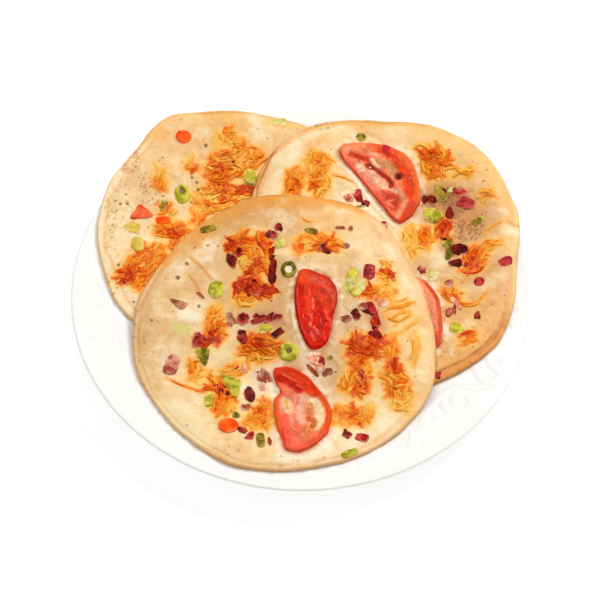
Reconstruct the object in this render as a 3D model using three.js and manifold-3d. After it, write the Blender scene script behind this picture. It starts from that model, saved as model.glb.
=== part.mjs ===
// A plate of uttapam: three thick rice pancakes with tomato, carrot, chilli and onion pressed into
// their tops, overlapping one another on a white dinner plate.
// Millimetres, +Z up. The origin is on the plate's axis, at the height of its foot.
// The plate is a lathe. Each pancake is a thin disc that follows the plate under it and climbs over
// the pancakes that lie lower, and each topping sits in a pocket cut out of its pancake.
import * as THREE from 'three';
import { mergeVertices } from 'three/addons/utils/BufferGeometryUtils.js';
import Module from 'manifold-3d';

const wasm = await Module();
wasm.setup();

// ---- Plate ----
const PLATE_RADIUS = 135;
const RIM_HEIGHT = 22;
const FLOOR_HEIGHT = 6.5;
const FLOOR_RADIUS = 55; // the floor is flat out to here
const CONE_RADIUS = 105; // from here out the rim is a straight cone
const FLOOR_WALL = 3.6;
const RIM_WALL = 3.4;
const FOOT_RADIUS = 66; // outer radius of the foot ring
const FOOT_WIDTH = 5;
const RIM_STEP = 16; // spacing of the lathe's points across the curve
const PLATE_SIDES = 52;

// ---- Pancakes ----
const BODY = 5.5; // thickness well inside the edge
const EDGE = 2.6; // thickness at the edge
const EDGE_TAPER = 12; // the thickness grows over this distance from the edge
const EDGE_BULGE = 0.9; // how far the side stands out at its middle
const SETTLE = 0.5; // air between the plate and a pancake
const REST_EDGE = 1.4; // air between two pancakes, over the lower one's edge
const REST_MIDDLE = 2.0; // and well inside it, where its toppings stand up
const DROOP = 1.0; // an upper pancake's own edge sinks this much again
const REST_REACH = 24; // both change over this distance from an edge
const CLIMB_START = 28; // an upper pancake starts to rise this far outside a lower one
const CLIMB_END = 12; // and has finished this far inside it
const CAKE_SIDES = 40;
const CAKE_INSETS = [60, 42, 27, 15, 7, 2.5]; // rings of points, measured in from the edge

// ---- Toppings ----
const POCKET_GAP = 0.35; // air between a topping and its pocket
const POCKET_HEIGHT = 12; // the pocket's cutter ends this far above the pancake
const FLOOR_LEFT = 1.3; // least thickness of pancake left under a pocket
const CHUNK_SIDES = 8;

const COLOURS = {
  plate: 0xfbfaf7,
  uttapam: 0xeec48c,
  tomato: 0xd5391c,
  carrot: 0xf8641a,
  chilli: 0x8f9a24,
  onion: 0x8c3548,
};
const ROUGHNESS = { plate: 0.12, uttapam: 0.6, tomato: 0.25, carrot: 0.45, chilli: 0.35, onion: 0.35 };

// Each pancake: where its centre lies on the plate, and how far its edge is from that centre in
// equal steps of direction, anticlockwise from +X.
const left = {
  side: 'left',
  centre: [-39, 43],
  reach: [84, 87, 90, 91, 89, 86, 87, 88, 92, 85, 83, 84, 84, 84, 86, 88, 86, 83, 81, 80, 79, 79, 80, 81],
  below: [],
};
const right = {
  side: 'right',
  centre: [48, 28],
  reach: [81, 85, 87, 91, 94, 95, 95, 97, 100, 97, 89, 85, 82, 82, 83, 85, 87, 91, 94, 96, 94, 93, 87, 81],
  below: [left],
};
const front = {
  side: 'front',
  centre: [-10, -29],
  reach: [86, 86, 87, 93, 95, 95, 94, 94, 92, 89, 87, 88, 88, 89, 89, 90, 92, 95, 95, 93, 93, 93, 94, 90],
  below: [left, right],
};

// Slices of tomato: at is the slice's middle, measured from its pancake's centre, outline holds its
// corners, measured from its middle, and rise is how far its skin stands above the pancake.
// A hollow is one seed chamber.
const SLICES = [
  {
    name: 'tomato_front_slice',
    on: front,
    at: [9.8, -54.2],
    outline: [
      [17, -3.5], [16, 4.5], [13, 10.5], [9, 15.5], [4.5, 22], [-1.5, 26.5], [-7.5, 29],
      [-17, 28.5], [-16, 21.5], [-11.5, 14], [-16, 9], [-15.5, -2.5], [-13.5, -12.5],
      [-10.5, -20.5], [-9.5, -27.5], [-1.5, -29], [7.5, -23.5], [14.5, -15.5],
    ],
    rise: 2.3,
    hollows: [{ at: [8, -2], size: [10, 20] }, { at: [-7, 4], size: [7, 12] }],
  },
  {
    name: 'tomato_front_wedge',
    on: front,
    at: [18, 9.6],
    outline: [
      [12.5, 4], [12.5, 9.5], [11.5, 15], [7.5, 20], [1, 23], [-4, 25.5], [-9.5, 25], [-11, 19.5],
      [-12.5, 11], [-12.5, 3], [-11.5, -5], [-9.5, -14], [-6.5, -21], [-3.5, -25.5], [2.5, -25],
      [7, -20], [9, -13], [10, -4],
    ],
    rise: 2.3,
    hollows: [{ at: [4, 7], size: [8, 26] }],
    crown: 1.6,
  },
  {
    name: 'tomato_back_slice',
    on: right,
    at: [-0.85, 46.5],
    outline: [
      [24.5, 2], [23, 9], [20.5, 16], [15, 22], [8, 26], [-2, 28], [-14, 28], [-23, 26.5],
      [-25, 22.5], [-22.5, 16], [-17, 9], [-10.5, 0.5], [-3.5, -9.5], [3, -18], [7.5, -25],
      [12, -28], [19.5, -22], [25, -12],
    ],
    rise: 2.3,
    hollows: [
      { at: [2, 6], size: [13, 19] },
      { at: [-11, 16], size: [14, 7] },
      { at: [8, -13], size: [10, 10] },
    ],
  },
  {
    name: 'tomato_tucked_slice',
    on: right,
    at: [20, -44],
    outline: [
      [13, 0], [13, 4.5], [12.5, 10.5], [9.5, 17], [4.5, 24], [-5, 28.5], [-12.5, 22],
      [-10.5, 8.5], [-10, 3.5], [-9, 0], [-8.5, -3], [-8, -6.5], [-7, -12.5], [-4.5, -24.5],
      [5, -29.5], [12.5, -21.5], [13.5, -11.5], [13.5, -5],
    ],
    rise: 1.7,
    hollows: [{ at: [0, 0], size: [8, 24] }],
  },
];
const SLICE_DEPTH = 2.2; // how deep a slice sits in its pancake
const SLICE_UNDERCUT = 0.3; // its foot lies this far inside its outline
const SLICE_WIDEST = 0.4; // it is widest at this share of its rise
const SLICE_SHOULDER = 1; // the top of the skin lies this far inside its outline
const SLICE_SKIN = 3; // width of the raised skin
const SLICE_CORE = 0.65; // the flesh's inner points lie this share of the way out
const SLICE_DISH = 0.7; // the flesh lies this far below the skin
const HOLLOW_DEPTH = 0.9;

// Where the front pancake is lifted by the slice that is tucked under it, from the plate's centre.
const TUCK = [66, -15];
const TUCK_LIFT = 2.6;
const TUCK_REACH = 60;

// Pieces of one vegetable on one pancake, named in order by a letter.
function cut(kind, cake, pieces) {
  return pieces.map((piece, i) => {
    const letter = String.fromCharCode('a'.charCodeAt(0) + i);
    return { ...piece, kind, on: cake, name: `${kind}_${cake.side}_${letter}` };
  });
}

// Cut vegetables: at is measured from the pancake's centre. Ovals, blocks and rings have a size,
// across and along, before the turn in degrees. The others have their corners, measured from at.
const CHUNKS = [
  ...cut('carrot', left, [
    { form: 'round', at: [-34, 64], size: [10, 9.5] },
    { at: [-59, 9.5], corners: [[-6, -6], [10, -1.5], [0, 7]] },
    { form: 'block', at: [-45, 6], size: [10, 5.5], turn: 8 },
  ]),
  ...cut('chilli', left, [
    { form: 'ring', at: [-34, 25], size: [10, 13] },
    { form: 'round', at: [7.5, 41], size: [10, 11] },
  ]),
  ...cut('chilli', right, [
    { form: 'round', at: [-11.5, 79.5], size: [7, 6.5] },
    { form: 'round', at: [31, 26], size: [14, 8], turn: -26 },
    { form: 'block', at: [36.5, 38], size: [9, 8], turn: -20 },
    { form: 'round', at: [41, -56], size: [8, 9.5], turn: 30 },
  ]),
  ...cut('onion', right, [
    { form: 'block', at: [51, 31], size: [12, 8], turn: -28 },
    { form: 'round', at: [46, -0.5], size: [12, 8.5], turn: -14 },
    { form: 'block', at: [72, -13], size: [9, 6], turn: 24 },
    { form: 'round', at: [56, -25], size: [6.5, 7] },
  ]),
  ...cut('chilli', front, [
    { form: 'ring', at: [2.2, 35.2], size: [9.6, 12] },
    { form: 'ring', at: [2.5, -16.8], size: [12.5, 10.5] },
    { form: 'round', at: [-40, 25.5], size: [10, 13] },
    { form: 'block', at: [-46, 70.5], size: [11, 6], turn: 4 },
    { at: [-46.5, -18], corners: [[-6, 5], [1.5, -7.5], [4.5, 6.5]] },
    { at: [-30, -35.5], corners: [[-8.5, 9], [3, -11.5], [6.5, 3.5]] },
    { form: 'round', at: [-42.5, -46.5], size: [5.5, 11], turn: -8 },
    { form: 'block', at: [-13, -75], size: [5, 12], turn: 2 },
    { form: 'block', at: [36, -82.5], size: [10, 4.5], turn: 24 },
    { form: 'block', at: [39.5, 33], size: [6, 9], turn: -24 },
    { form: 'block', at: [43, 22.5], size: [11, 6], turn: 38 },
    { form: 'round', at: [15.5, 63], size: [9.5, 4.5], turn: -14 },
  ]),
  ...cut('carrot', front, [
    { form: 'round', at: [-31, -64], size: [12, 11.5] },
  ]),
  ...cut('onion', front, [
    { form: 'round', at: [-19.8, -41.5], size: [6.5, 12], turn: 12 },
    { form: 'block', at: [-64, -24], size: [8.5, 14], turn: -16 },
    { at: [-61.5, 15.5], corners: [[-7, 4.5], [1.5, -5], [6.5, 0.5]] },
    { form: 'block', at: [49.5, 35.5], size: [7, 11], turn: -6 },
    { form: 'block', at: [-7.5, 34], size: [4.5, 18], turn: -8 },
    { form: 'block', at: [43, -72.5], size: [8, 5.5], turn: -8 },
    { form: 'round', at: [-24, 4.5], size: [8.5, 8.5] },
    { form: 'block', at: [-8, 60.5], size: [8, 6], turn: -30 },
  ]),
];
const CHUNK_DEPTH = 1.9;
const CHUNK_RISE = 1.7;
const CHUNK_CROWN = 0.4;
const CHUNK_WIDEST = 0.35; // a chunk is widest at this share of its rise
const CHUNK_TOP = 0.8; // width of its top, as a share of its widest
const CHUNK_FOOT = 0.88; // and of its foot
const RING_HOLE = 0.5; // a ring's hole, as a share of its width
const RING_LIP = 0.6; // a ring is this share of its rise at the hole
const CORNER_CUT = 0.12; // a stated corner is cut off this far along its sides

// ---- Heights ----
function smoothStep(t) {
  const x = Math.min(Math.max(t, 0), 1);
  return x * x * (3 - 2 * x);
}

// The cone's slope follows from the floor, the rim and the curve between them, which is a parabola.
const CURVE_WIDTH = CONE_RADIUS - FLOOR_RADIUS;
const CONE_SLOPE = (RIM_HEIGHT - FLOOR_HEIGHT) / (CURVE_WIDTH / 2 + PLATE_RADIUS - CONE_RADIUS);

function plateTop(radius) {
  const run = Math.min(Math.max(radius - FLOOR_RADIUS, 0), CURVE_WIDTH);
  const curve = (CONE_SLOPE * run * run) / (2 * CURVE_WIDTH);
  return FLOOR_HEIGHT + curve + CONE_SLOPE * Math.max(radius - CONE_RADIUS, 0);
}

// The distance from the middle to an outline, by a smooth curve through its stated distances.
function reachAt(reach, angle) {
  const count = reach.length;
  const place = ((((angle / (2 * Math.PI)) % 1) + 1) % 1) * count;
  const i = Math.floor(place);
  const t = place - i;
  const [a, b, c, d] = [i - 1, i, i + 1, i + 2].map((k) => reach[(k + count) % count]);
  const bend = (2 * a - 5 * b + 4 * c - d) * t * t + (3 * b - a - 3 * c + d) * t * t * t;
  return b + ((c - a) * t + bend) / 2;
}

// How far a point lies inside a pancake's edge; negative outside it.
function inset(cake, x, y) {
  const dx = x - cake.centre[0];
  const dy = y - cake.centre[1];
  return reachAt(cake.reach, Math.atan2(dy, dx)) - Math.hypot(dx, dy);
}

function underside(cake, x, y) {
  let height = plateTop(Math.hypot(x, y)) + SETTLE;
  let climbed = 0;
  for (const lower of cake.below) {
    const inside = inset(lower, x, y);
    const climb = smoothStep((inside + CLIMB_START) / (CLIMB_START + CLIMB_END));
    const rest = REST_EDGE + (REST_MIDDLE - REST_EDGE) * smoothStep(inside / REST_REACH);
    height += (BODY + rest) * climb;
    climbed = Math.max(climbed, climb);
  }
  height -= DROOP * climbed * (1 - smoothStep(inset(cake, x, y) / REST_REACH));
  if (cake === front) {
    height += TUCK_LIFT * (1 - smoothStep(Math.hypot(x - TUCK[0], y - TUCK[1]) / TUCK_REACH));
  }
  return height;
}

function thickness(cake, x, y) {
  return EDGE + (BODY - EDGE) * smoothStep(inset(cake, x, y) / EDGE_TAPER);
}

function topSide(cake, x, y) {
  return underside(cake, x, y) + thickness(cake, x, y);
}

// ---- Solids ----
// A closed mesh from rings of points, listed from the lower middle, round the edge, to the upper
// middle. Without middles the last ring joins the first, as in a doughnut.
function stack(rings, middles) {
  const sides = rings[0].length;
  const points = rings.flat();
  const faces = [];
  const bands = middles ? rings.length - 1 : rings.length;
  for (let k = 0; k < bands; k += 1) {
    const lower = k * sides;
    const upper = ((k + 1) % rings.length) * sides;
    for (let i = 0; i < sides; i += 1) {
      const j = (i + 1) % sides;
      faces.push(lower + i, lower + j, upper + j);
      faces.push(lower + i, upper + j, upper + i);
    }
  }
  if (middles) {
    const last = (rings.length - 1) * sides;
    const base = points.length;
    points.push(...middles);
    for (let i = 0; i < sides; i += 1) {
      const j = (i + 1) % sides;
      faces.push(base, j, i);
      faces.push(base + 1, last + i, last + j);
    }
  }
  const geometry = new THREE.BufferGeometry();
  geometry.setAttribute('position', new THREE.Float32BufferAttribute(points.flat(), 3));
  geometry.setIndex(faces);
  return geometry;
}

function toSolid(geometry) {
  const merged = mergeVertices(geometry, 1e-4);
  return new wasm.Manifold(new wasm.Mesh({
    numProp: 3,
    vertProperties: new Float32Array(merged.attributes.position.array),
    triVerts: new Uint32Array(merged.index.array),
  }));
}

function toGeometry(solid) {
  const { vertProperties, triVerts } = solid.getMesh();
  const geometry = new THREE.BufferGeometry();
  geometry.setAttribute('position', new THREE.Float32BufferAttribute(vertProperties, 3));
  geometry.setIndex(new THREE.Uint32BufferAttribute(triVerts, 1));
  return geometry;
}

function plateGeometry() {
  const footInside = FOOT_RADIUS - FOOT_WIDTH;
  const under = FLOOR_HEIGHT - FLOOR_WALL;
  const middle = (FOOT_RADIUS + CONE_RADIUS) / 2;
  const profile = [
    [0, under],
    [footInside - 1.5, under],
    [footInside, 0],
    [FOOT_RADIUS, 0],
    [FOOT_RADIUS + 2, under - 0.3],
    [middle, plateTop(middle) - FLOOR_WALL],
    [CONE_RADIUS, plateTop(CONE_RADIUS) - FLOOR_WALL],
    [PLATE_RADIUS - 3, plateTop(PLATE_RADIUS - 3) - RIM_WALL],
    [PLATE_RADIUS - 0.4, plateTop(PLATE_RADIUS) - RIM_WALL + 1],
    [PLATE_RADIUS, plateTop(PLATE_RADIUS) - RIM_WALL / 2],
    [PLATE_RADIUS - 1.2, plateTop(PLATE_RADIUS) - 0.3],
  ];
  for (let radius = PLATE_RADIUS - 5; radius > FLOOR_RADIUS; radius -= RIM_STEP) {
    profile.push([radius, plateTop(radius)]);
  }
  profile.push([FLOOR_RADIUS, FLOOR_HEIGHT], [0, FLOOR_HEIGHT]);
  const lathe = new THREE.LatheGeometry(profile.map(([x, y]) => new THREE.Vector2(x, y)), PLATE_SIDES);
  lathe.rotateX(Math.PI / 2); // the lathe turns about Y, the plate stands on Z
  lathe.deleteAttribute('normal');
  lathe.deleteAttribute('uv');
  return lathe;
}

function cakeGeometry(cake) {
  const ringOf = (distance, height) => Array.from({ length: CAKE_SIDES }, (_, i) => {
    const angle = (i / CAKE_SIDES) * 2 * Math.PI;
    const radius = reachAt(cake.reach, angle) - distance;
    const x = cake.centre[0] + radius * Math.cos(angle);
    const y = cake.centre[1] + radius * Math.sin(angle);
    return [x, y, height(cake, x, y)];
  });
  const sideMiddle = (_, x, y) => underside(cake, x, y) + EDGE / 2;
  const inward = [...CAKE_INSETS].reverse();
  const rings = [
    ...CAKE_INSETS.map((distance) => ringOf(distance, underside)),
    ringOf(EDGE_BULGE, underside),
    ringOf(0, sideMiddle),
    ringOf(EDGE_BULGE, topSide),
    ...inward.map((distance) => ringOf(distance, topSide)),
  ];
  const [x, y] = cake.centre;
  return stack(rings, [[x, y, underside(cake, x, y)], [x, y, topSide(cake, x, y)]]);
}

// A topping is drawn on its pancake: each point has a place on the pancake and a height above it.
function onCake(item, dx, dy, height) {
  const x = item.on.centre[0] + item.at[0] + dx;
  const y = item.on.centre[1] + item.at[1] + dy;
  return [x, y, topSide(item.on, x, y) + height];
}

function depthOf(item, wanted) {
  const x = item.on.centre[0] + item.at[0];
  const y = item.on.centre[1] + item.at[1];
  return Math.min(wanted, thickness(item.on, x, y) - POCKET_GAP - FLOOR_LEFT);
}

// The outline of a cut vegetable: an oval, an oval with square shoulders, or stated corners, each
// cut off a little, with one more point in the middle of each side.
function chunkOutline(item) {
  if (item.corners) {
    return item.corners.flatMap((corner, i) => {
      const next = item.corners[(i + 1) % item.corners.length];
      const between = (t) => corner.map((value, k) => value + (next[k] - value) * t);
      return [CORNER_CUT, 0.5, 1 - CORNER_CUT].map(between);
    });
  }
  const turn = THREE.MathUtils.degToRad(item.turn ?? 0);
  const power = item.form === 'block' ? 4 : 2;
  return Array.from({ length: CHUNK_SIDES }, (_, i) => {
    const angle = (i / CHUNK_SIDES) * 2 * Math.PI;
    const sum = Math.abs(Math.cos(angle)) ** power + Math.abs(Math.sin(angle)) ** power;
    const across = (item.size[0] / 2) * sum ** (-1 / power) * Math.cos(angle);
    const along = (item.size[1] / 2) * sum ** (-1 / power) * Math.sin(angle);
    return [
      across * Math.cos(turn) - along * Math.sin(turn),
      across * Math.sin(turn) + along * Math.cos(turn),
    ];
  });
}

function chunkRing(item, share, height, grow) {
  return chunkOutline(item).map(([dx, dy]) => {
    const scale = share + grow / Math.hypot(dx, dy);
    return onCake(item, dx * scale, dy * scale, height);
  });
}

function chunkGeometry(item) {
  const depth = depthOf(item, CHUNK_DEPTH);
  if (item.form === 'ring') {
    return stack([
      chunkRing(item, CHUNK_FOOT, -depth, 0),
      chunkRing(item, 1, CHUNK_RISE * CHUNK_WIDEST, 0),
      chunkRing(item, CHUNK_TOP, CHUNK_RISE, 0),
      chunkRing(item, RING_HOLE, CHUNK_RISE * RING_LIP, 0),
      chunkRing(item, RING_HOLE, -depth, 0),
    ]);
  }
  return stack([
    chunkRing(item, CHUNK_FOOT, -depth, 0),
    chunkRing(item, 1, CHUNK_RISE * CHUNK_WIDEST, 0),
    chunkRing(item, CHUNK_TOP, CHUNK_RISE, 0),
  ], [onCake(item, 0, 0, -depth), onCake(item, 0, 0, CHUNK_RISE + CHUNK_CROWN)]);
}

function chunkPocket(item) {
  const bottom = -depthOf(item, CHUNK_DEPTH) - POCKET_GAP;
  const outer = [chunkRing(item, 1, bottom, POCKET_GAP), chunkRing(item, 1, POCKET_HEIGHT, POCKET_GAP)];
  if (item.form === 'ring') {
    const inner = (height) => chunkRing(item, RING_HOLE, height, -POCKET_GAP);
    return stack([...outer, inner(POCKET_HEIGHT), inner(bottom)]);
  }
  return stack(outer, [onCake(item, 0, 0, bottom), onCake(item, 0, 0, POCKET_HEIGHT)]);
}

function sliceRing(item, margin, height) {
  return item.outline.map(([x, y]) => {
    const share = 1 - margin / Math.hypot(x, y);
    const dx = x * share;
    const dy = y * share;
    return onCake(item, dx, dy, typeof height === 'number' ? height : height(dx, dy));
  });
}

// The flesh inside the skin: dished a little, lower in the seed chambers, crowned in a wedge.
function fleshHeight(item, dx, dy) {
  let height = item.rise - SLICE_DISH + (item.crown ?? 0);
  for (const { at, size } of item.hollows) {
    const away = Math.hypot((2 * (dx - at[0])) / size[0], (2 * (dy - at[1])) / size[1]);
    height -= HOLLOW_DEPTH * (1 - smoothStep(away - 0.5));
  }
  return height;
}

function sliceGeometry(item) {
  const depth = depthOf(item, SLICE_DEPTH);
  const flesh = (dx, dy) => fleshHeight(item, dx, dy);
  const shortest = Math.min(...item.outline.map(([x, y]) => Math.hypot(x, y)));
  return stack([
    sliceRing(item, SLICE_UNDERCUT, -depth),
    sliceRing(item, 0, item.rise * SLICE_WIDEST),
    sliceRing(item, SLICE_SHOULDER, item.rise),
    sliceRing(item, SLICE_SKIN, flesh),
    sliceRing(item, shortest * SLICE_CORE, flesh),
  ], [onCake(item, 0, 0, -depth), onCake(item, 0, 0, fleshHeight(item, 0, 0))]);
}

function slicePocket(item) {
  const bottom = -depthOf(item, SLICE_DEPTH) - POCKET_GAP;
  return stack([
    sliceRing(item, -POCKET_GAP, bottom),
    sliceRing(item, -POCKET_GAP, POCKET_HEIGHT),
  ], [onCake(item, 0, 0, bottom), onCake(item, 0, 0, POCKET_HEIGHT)]);
}

// A pancake with a pocket for every topping that lies on it.
function pocketedCake(cake) {
  const pockets = [
    ...SLICES.filter((item) => item.on === cake).map(slicePocket),
    ...CHUNKS.filter((item) => item.on === cake).map(chunkPocket),
  ];
  const cutter = wasm.Manifold.union(pockets.map(toSolid));
  return toGeometry(toSolid(cakeGeometry(cake)).subtract(cutter));
}

// ---- The whole ----
const group = new THREE.Group();

function addMesh(name, geometry, look) {
  const material = new THREE.MeshStandardMaterial({ color: COLOURS[look], roughness: ROUGHNESS[look] });
  const mesh = new THREE.Mesh(geometry, material);
  mesh.name = name;
  group.add(mesh);
}

addMesh('plate', plateGeometry(), 'plate');
for (const cake of [left, right, front]) {
  addMesh(`uttapam_${cake.side}`, pocketedCake(cake), 'uttapam');
}
for (const item of SLICES) {
  addMesh(item.name, sliceGeometry(item), 'tomato');
}
for (const item of CHUNKS) {
  addMesh(item.name, chunkGeometry(item), item.kind);
}

export default group;
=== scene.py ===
"""The looks of a plate of uttapam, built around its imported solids.

Lengths are in millimetres, and colours are sRGB levels up to 255, until a mesh is made.
Each pancake has a grid of heights and one of colours, measured from a middle of its own. Its outline
and underside come from its solid. What lies on it is placed from that same middle.
"""
import math
from string import ascii_lowercase

import bpy
import numpy as np
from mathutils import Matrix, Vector
from mathutils.bvhtree import BVHTree


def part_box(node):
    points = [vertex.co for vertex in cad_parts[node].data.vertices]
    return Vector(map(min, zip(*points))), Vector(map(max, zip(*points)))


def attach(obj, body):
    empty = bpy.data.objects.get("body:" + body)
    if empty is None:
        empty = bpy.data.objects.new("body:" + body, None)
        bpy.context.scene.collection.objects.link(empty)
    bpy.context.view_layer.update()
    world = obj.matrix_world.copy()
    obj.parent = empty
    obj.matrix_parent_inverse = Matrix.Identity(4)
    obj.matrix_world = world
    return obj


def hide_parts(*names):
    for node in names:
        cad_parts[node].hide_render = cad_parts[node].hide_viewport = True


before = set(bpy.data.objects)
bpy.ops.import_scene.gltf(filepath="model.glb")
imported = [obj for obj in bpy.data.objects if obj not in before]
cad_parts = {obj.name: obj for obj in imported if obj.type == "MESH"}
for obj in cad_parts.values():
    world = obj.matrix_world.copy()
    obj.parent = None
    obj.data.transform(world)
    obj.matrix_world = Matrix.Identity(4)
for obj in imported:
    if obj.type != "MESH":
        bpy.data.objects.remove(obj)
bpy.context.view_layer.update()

MM = 0.001
TAU = 2 * math.pi
UP = np.array([0.0, 0.0, 1.0])


# ---- Numbers and colours ----
def ease(t):
    """A smooth step from 0 to 1."""
    t = np.clip(t, 0, 1)
    return t * t * (3 - 2 * t)


def polar(distance, angle):
    """The place at a distance in a direction."""
    return distance * np.cos(angle), distance * np.sin(angle)


def turned(x, y, angle):
    """A place turned round the middle."""
    return x * math.cos(angle) - y * math.sin(angle), x * math.sin(angle) + y * math.cos(angle)


def mixed(colour, other, share):
    """A colour, or an array of them, moved towards another by a share for each."""
    return colour + (np.asarray(other, float) - colour) * np.asarray(share)[..., None]


def linear(colour):
    """Levels of sRGB as the linear values that shaders take."""
    level = np.clip(np.asarray(colour, float) / 255, 0, 1)
    return np.where(level <= 0.04045, level / 12.92, ((level + 0.055) / 1.055) ** 2.4)


# ---- Grids: a square of evenly spaced points round a pancake's middle ----
# WAVES is the square of the frequency of each wave in a grid's Fourier transform.
CELL = 0.4
HALF = 106.0
AXIS = np.arange(-HALF, HALF, CELL)
GRID_X, GRID_Y = np.meshgrid(AXIS, AXIS)
WAVES = np.fft.fftfreq(len(AXIS), CELL)[:, None] ** 2 + np.fft.rfftfreq(len(AXIS), CELL) ** 2


def blurred(field, size):
    """A grid smoothed over a size."""
    smoothing = np.exp(-2 * (math.pi * size) ** 2 * WAVES)
    return np.fft.irfft2(np.fft.rfft2(field) * smoothing, s=field.shape)


def grain(rng, size):
    """Smooth random unevenness: mean 0, spread 1, lumps a few times the given size."""
    field = blurred(rng.standard_normal(GRID_X.shape), size)
    return field / field.std()


def sample(field, x, y):
    """A grid's values at some places."""
    column = np.clip((np.asarray(x) + HALF) / CELL, 0, len(AXIS) - 1.001)
    row = np.clip((np.asarray(y) + HALF) / CELL, 0, len(AXIS) - 1.001)
    c, r = column.astype(int), row.astype(int)
    s, t = column - c, row - r
    if field.ndim == 3:
        s, t = s[..., None], t[..., None]
    near = field[r, c] * (1 - s) + field[r, c + 1] * s
    far = field[r + 1, c] * (1 - s) + field[r + 1, c + 1] * s
    return near * (1 - t) + far * t


def window(x, y, reach):
    """The rows and columns of the grid within a distance of some places."""
    ends = [[np.min(p) - reach, np.max(p) + reach] for p in (y, x)]
    rows, columns = np.clip((np.array(ends) + HALF) / CELL + [0, 2], 0, len(AXIS)).astype(int)
    return slice(*rows), slice(*columns)


# ---- Strokes: soft bands of colour and of height along a line, or round one point ----
# Each is a line, a width, a colour, its strength, a rise and how soft the edge is.
def off_line(x, y, line):
    """How far some places are from a line."""
    nearest = np.full(np.shape(x), np.inf)
    for (ax, ay), (bx, by) in zip(line, line[1:] or line):
        dx, dy = bx - ax, by - ay
        along = np.clip(((x - ax) * dx + (y - ay) * dy) / (dx * dx + dy * dy or 1), 0, 1)
        nearest = np.minimum(nearest, np.hypot(x - ax - along * dx, y - ay - along * dy))
    return nearest


def lay(stroke, x, y, height, paint):
    """Adds one stroke to arrays of heights and colours at some places."""
    line, width, colour, strength, rise, soft = stroke
    cover = 1 - ease((off_line(x, y, line) - width / 2 + soft / 2) / soft)
    height += rise * cover
    paint[...] = mixed(paint, colour, strength * cover)


def smooth_line(line, step):
    """Evenly spaced points on a smooth curve through the points of a line."""
    p = np.array(line, float)
    p = np.vstack([2 * p[0] - p[1], p, 2 * p[-1] - p[-2]])
    t = np.linspace(0, 1, 12, endpoint=False)[:, None]
    pieces = []
    for a, b, c, d in zip(p, p[1:], p[2:], p[3:]):
        bend = (2 * a - 5 * b + 4 * c - d) * t**2 + (3 * b - a - 3 * c + d) * t**3
        pieces.append(b + ((c - a) * t + bend) / 2)
    fine = np.vstack(pieces + [p[-2:-1]])
    gone = np.concatenate([[0], np.cumsum(np.hypot(*np.diff(fine, axis=0).T))])
    stops = np.linspace(0, gone[-1], max(int(gone[-1] / step), 3) + 1)
    return np.stack([np.interp(stops, gone, fine[:, k]) for k in (0, 1)], axis=1)


# ---- Outlines: how far an edge is from a middle in each of many directions ----
DIRECTIONS = 240
AROUND = np.arange(DIRECTIONS) * TAU / DIRECTIONS


def middle_of(node):
    """The middle of a solid, seen from above."""
    low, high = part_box(node)
    return np.array([(low[k] + high[k]) / 2 / MM for k in (0, 1)])


def softened(values, spread):
    """Values round a circle, smoothed over a number of steps."""
    turns = np.fft.rfftfreq(len(values))
    return np.fft.irfft(np.fft.rfft(values) * np.exp(-2 * (math.pi * spread * turns) ** 2), len(values))


def reach_through(a, b):
    """How far the farthest line from a to b is in each direction."""
    dx, dy = (b - a).T
    cosine, sine = np.cos(AROUND)[:, None], np.sin(AROUND)[:, None]
    with np.errstate(divide="ignore", invalid="ignore"):
        across = cosine * dy - sine * dx
        away = (a[:, 0] * dy - a[:, 1] * dx) / across
        along = (a[:, 0] * sine - a[:, 1] * cosine) / across
    hit = (along >= 0) & (along <= 1) & (away > 0)
    return np.where(hit, away, 0).max(axis=1)


def solid_reach(node, middle):
    """The outline of a solid, seen from above."""
    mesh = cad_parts[node].data
    places = np.empty(len(mesh.vertices) * 3, np.float32)
    mesh.vertices.foreach_get("co", places)
    ends = np.empty(len(mesh.edges) * 2, int)
    mesh.edges.foreach_get("vertices", ends)
    flat = (places.reshape(-1, 3).astype(float) / MM)[ends.reshape(-1, 2)][:, :, :2] - middle
    return reach_through(flat[:, 0], flat[:, 1])


def reach_at(reach, angle):
    """How far an outline is in some directions."""
    return np.interp(np.mod(angle, TAU), np.append(AROUND, TAU), np.append(reach, reach[0]))


def inside(reach, x, y):
    """How far some places are inside an outline."""
    return reach_at(reach, np.arctan2(y, x)) - np.hypot(x, y)


# ---- Meshes ----
class Heap:
    """Closed shapes, or parts of one, gathered into one piece."""

    def __init__(self):
        self.points, self.faces, self.paint, self.count = [], [], [], 0

    def add(self, points, faces, paint):
        """The faces number these points from 0."""
        self.points.append(points)
        self.faces.append(faces + self.count)
        self.paint.append(np.broadcast_to(paint, points.shape))
        self.count += len(points)

    def make(self, name, material, slot, node=None):
        """The piece itself, which takes the place of a node of the solids if one is given."""
        points, faces, paint = [np.vstack(part) for part in (self.points, self.faces, self.paint)]
        mesh = bpy.data.meshes.new(name)
        mesh.from_pydata((points.astype(np.float32) * MM).tolist(), [], faces.tolist())
        mesh.polygons.foreach_set("use_smooth", np.ones(len(faces), bool))
        shades = np.ones((len(points), 4), np.float32)
        shades[:, :3] = linear(paint)
        mesh.color_attributes.new("Paint", "FLOAT_COLOR", "POINT").data.foreach_set("color", shades.ravel())
        mesh.materials.append(MATERIALS[material])
        piece = bpy.data.objects.new(name, mesh)
        bpy.context.scene.collection.objects.link(piece)
        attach(piece, "root")
        if node:
            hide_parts(node)


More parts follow.
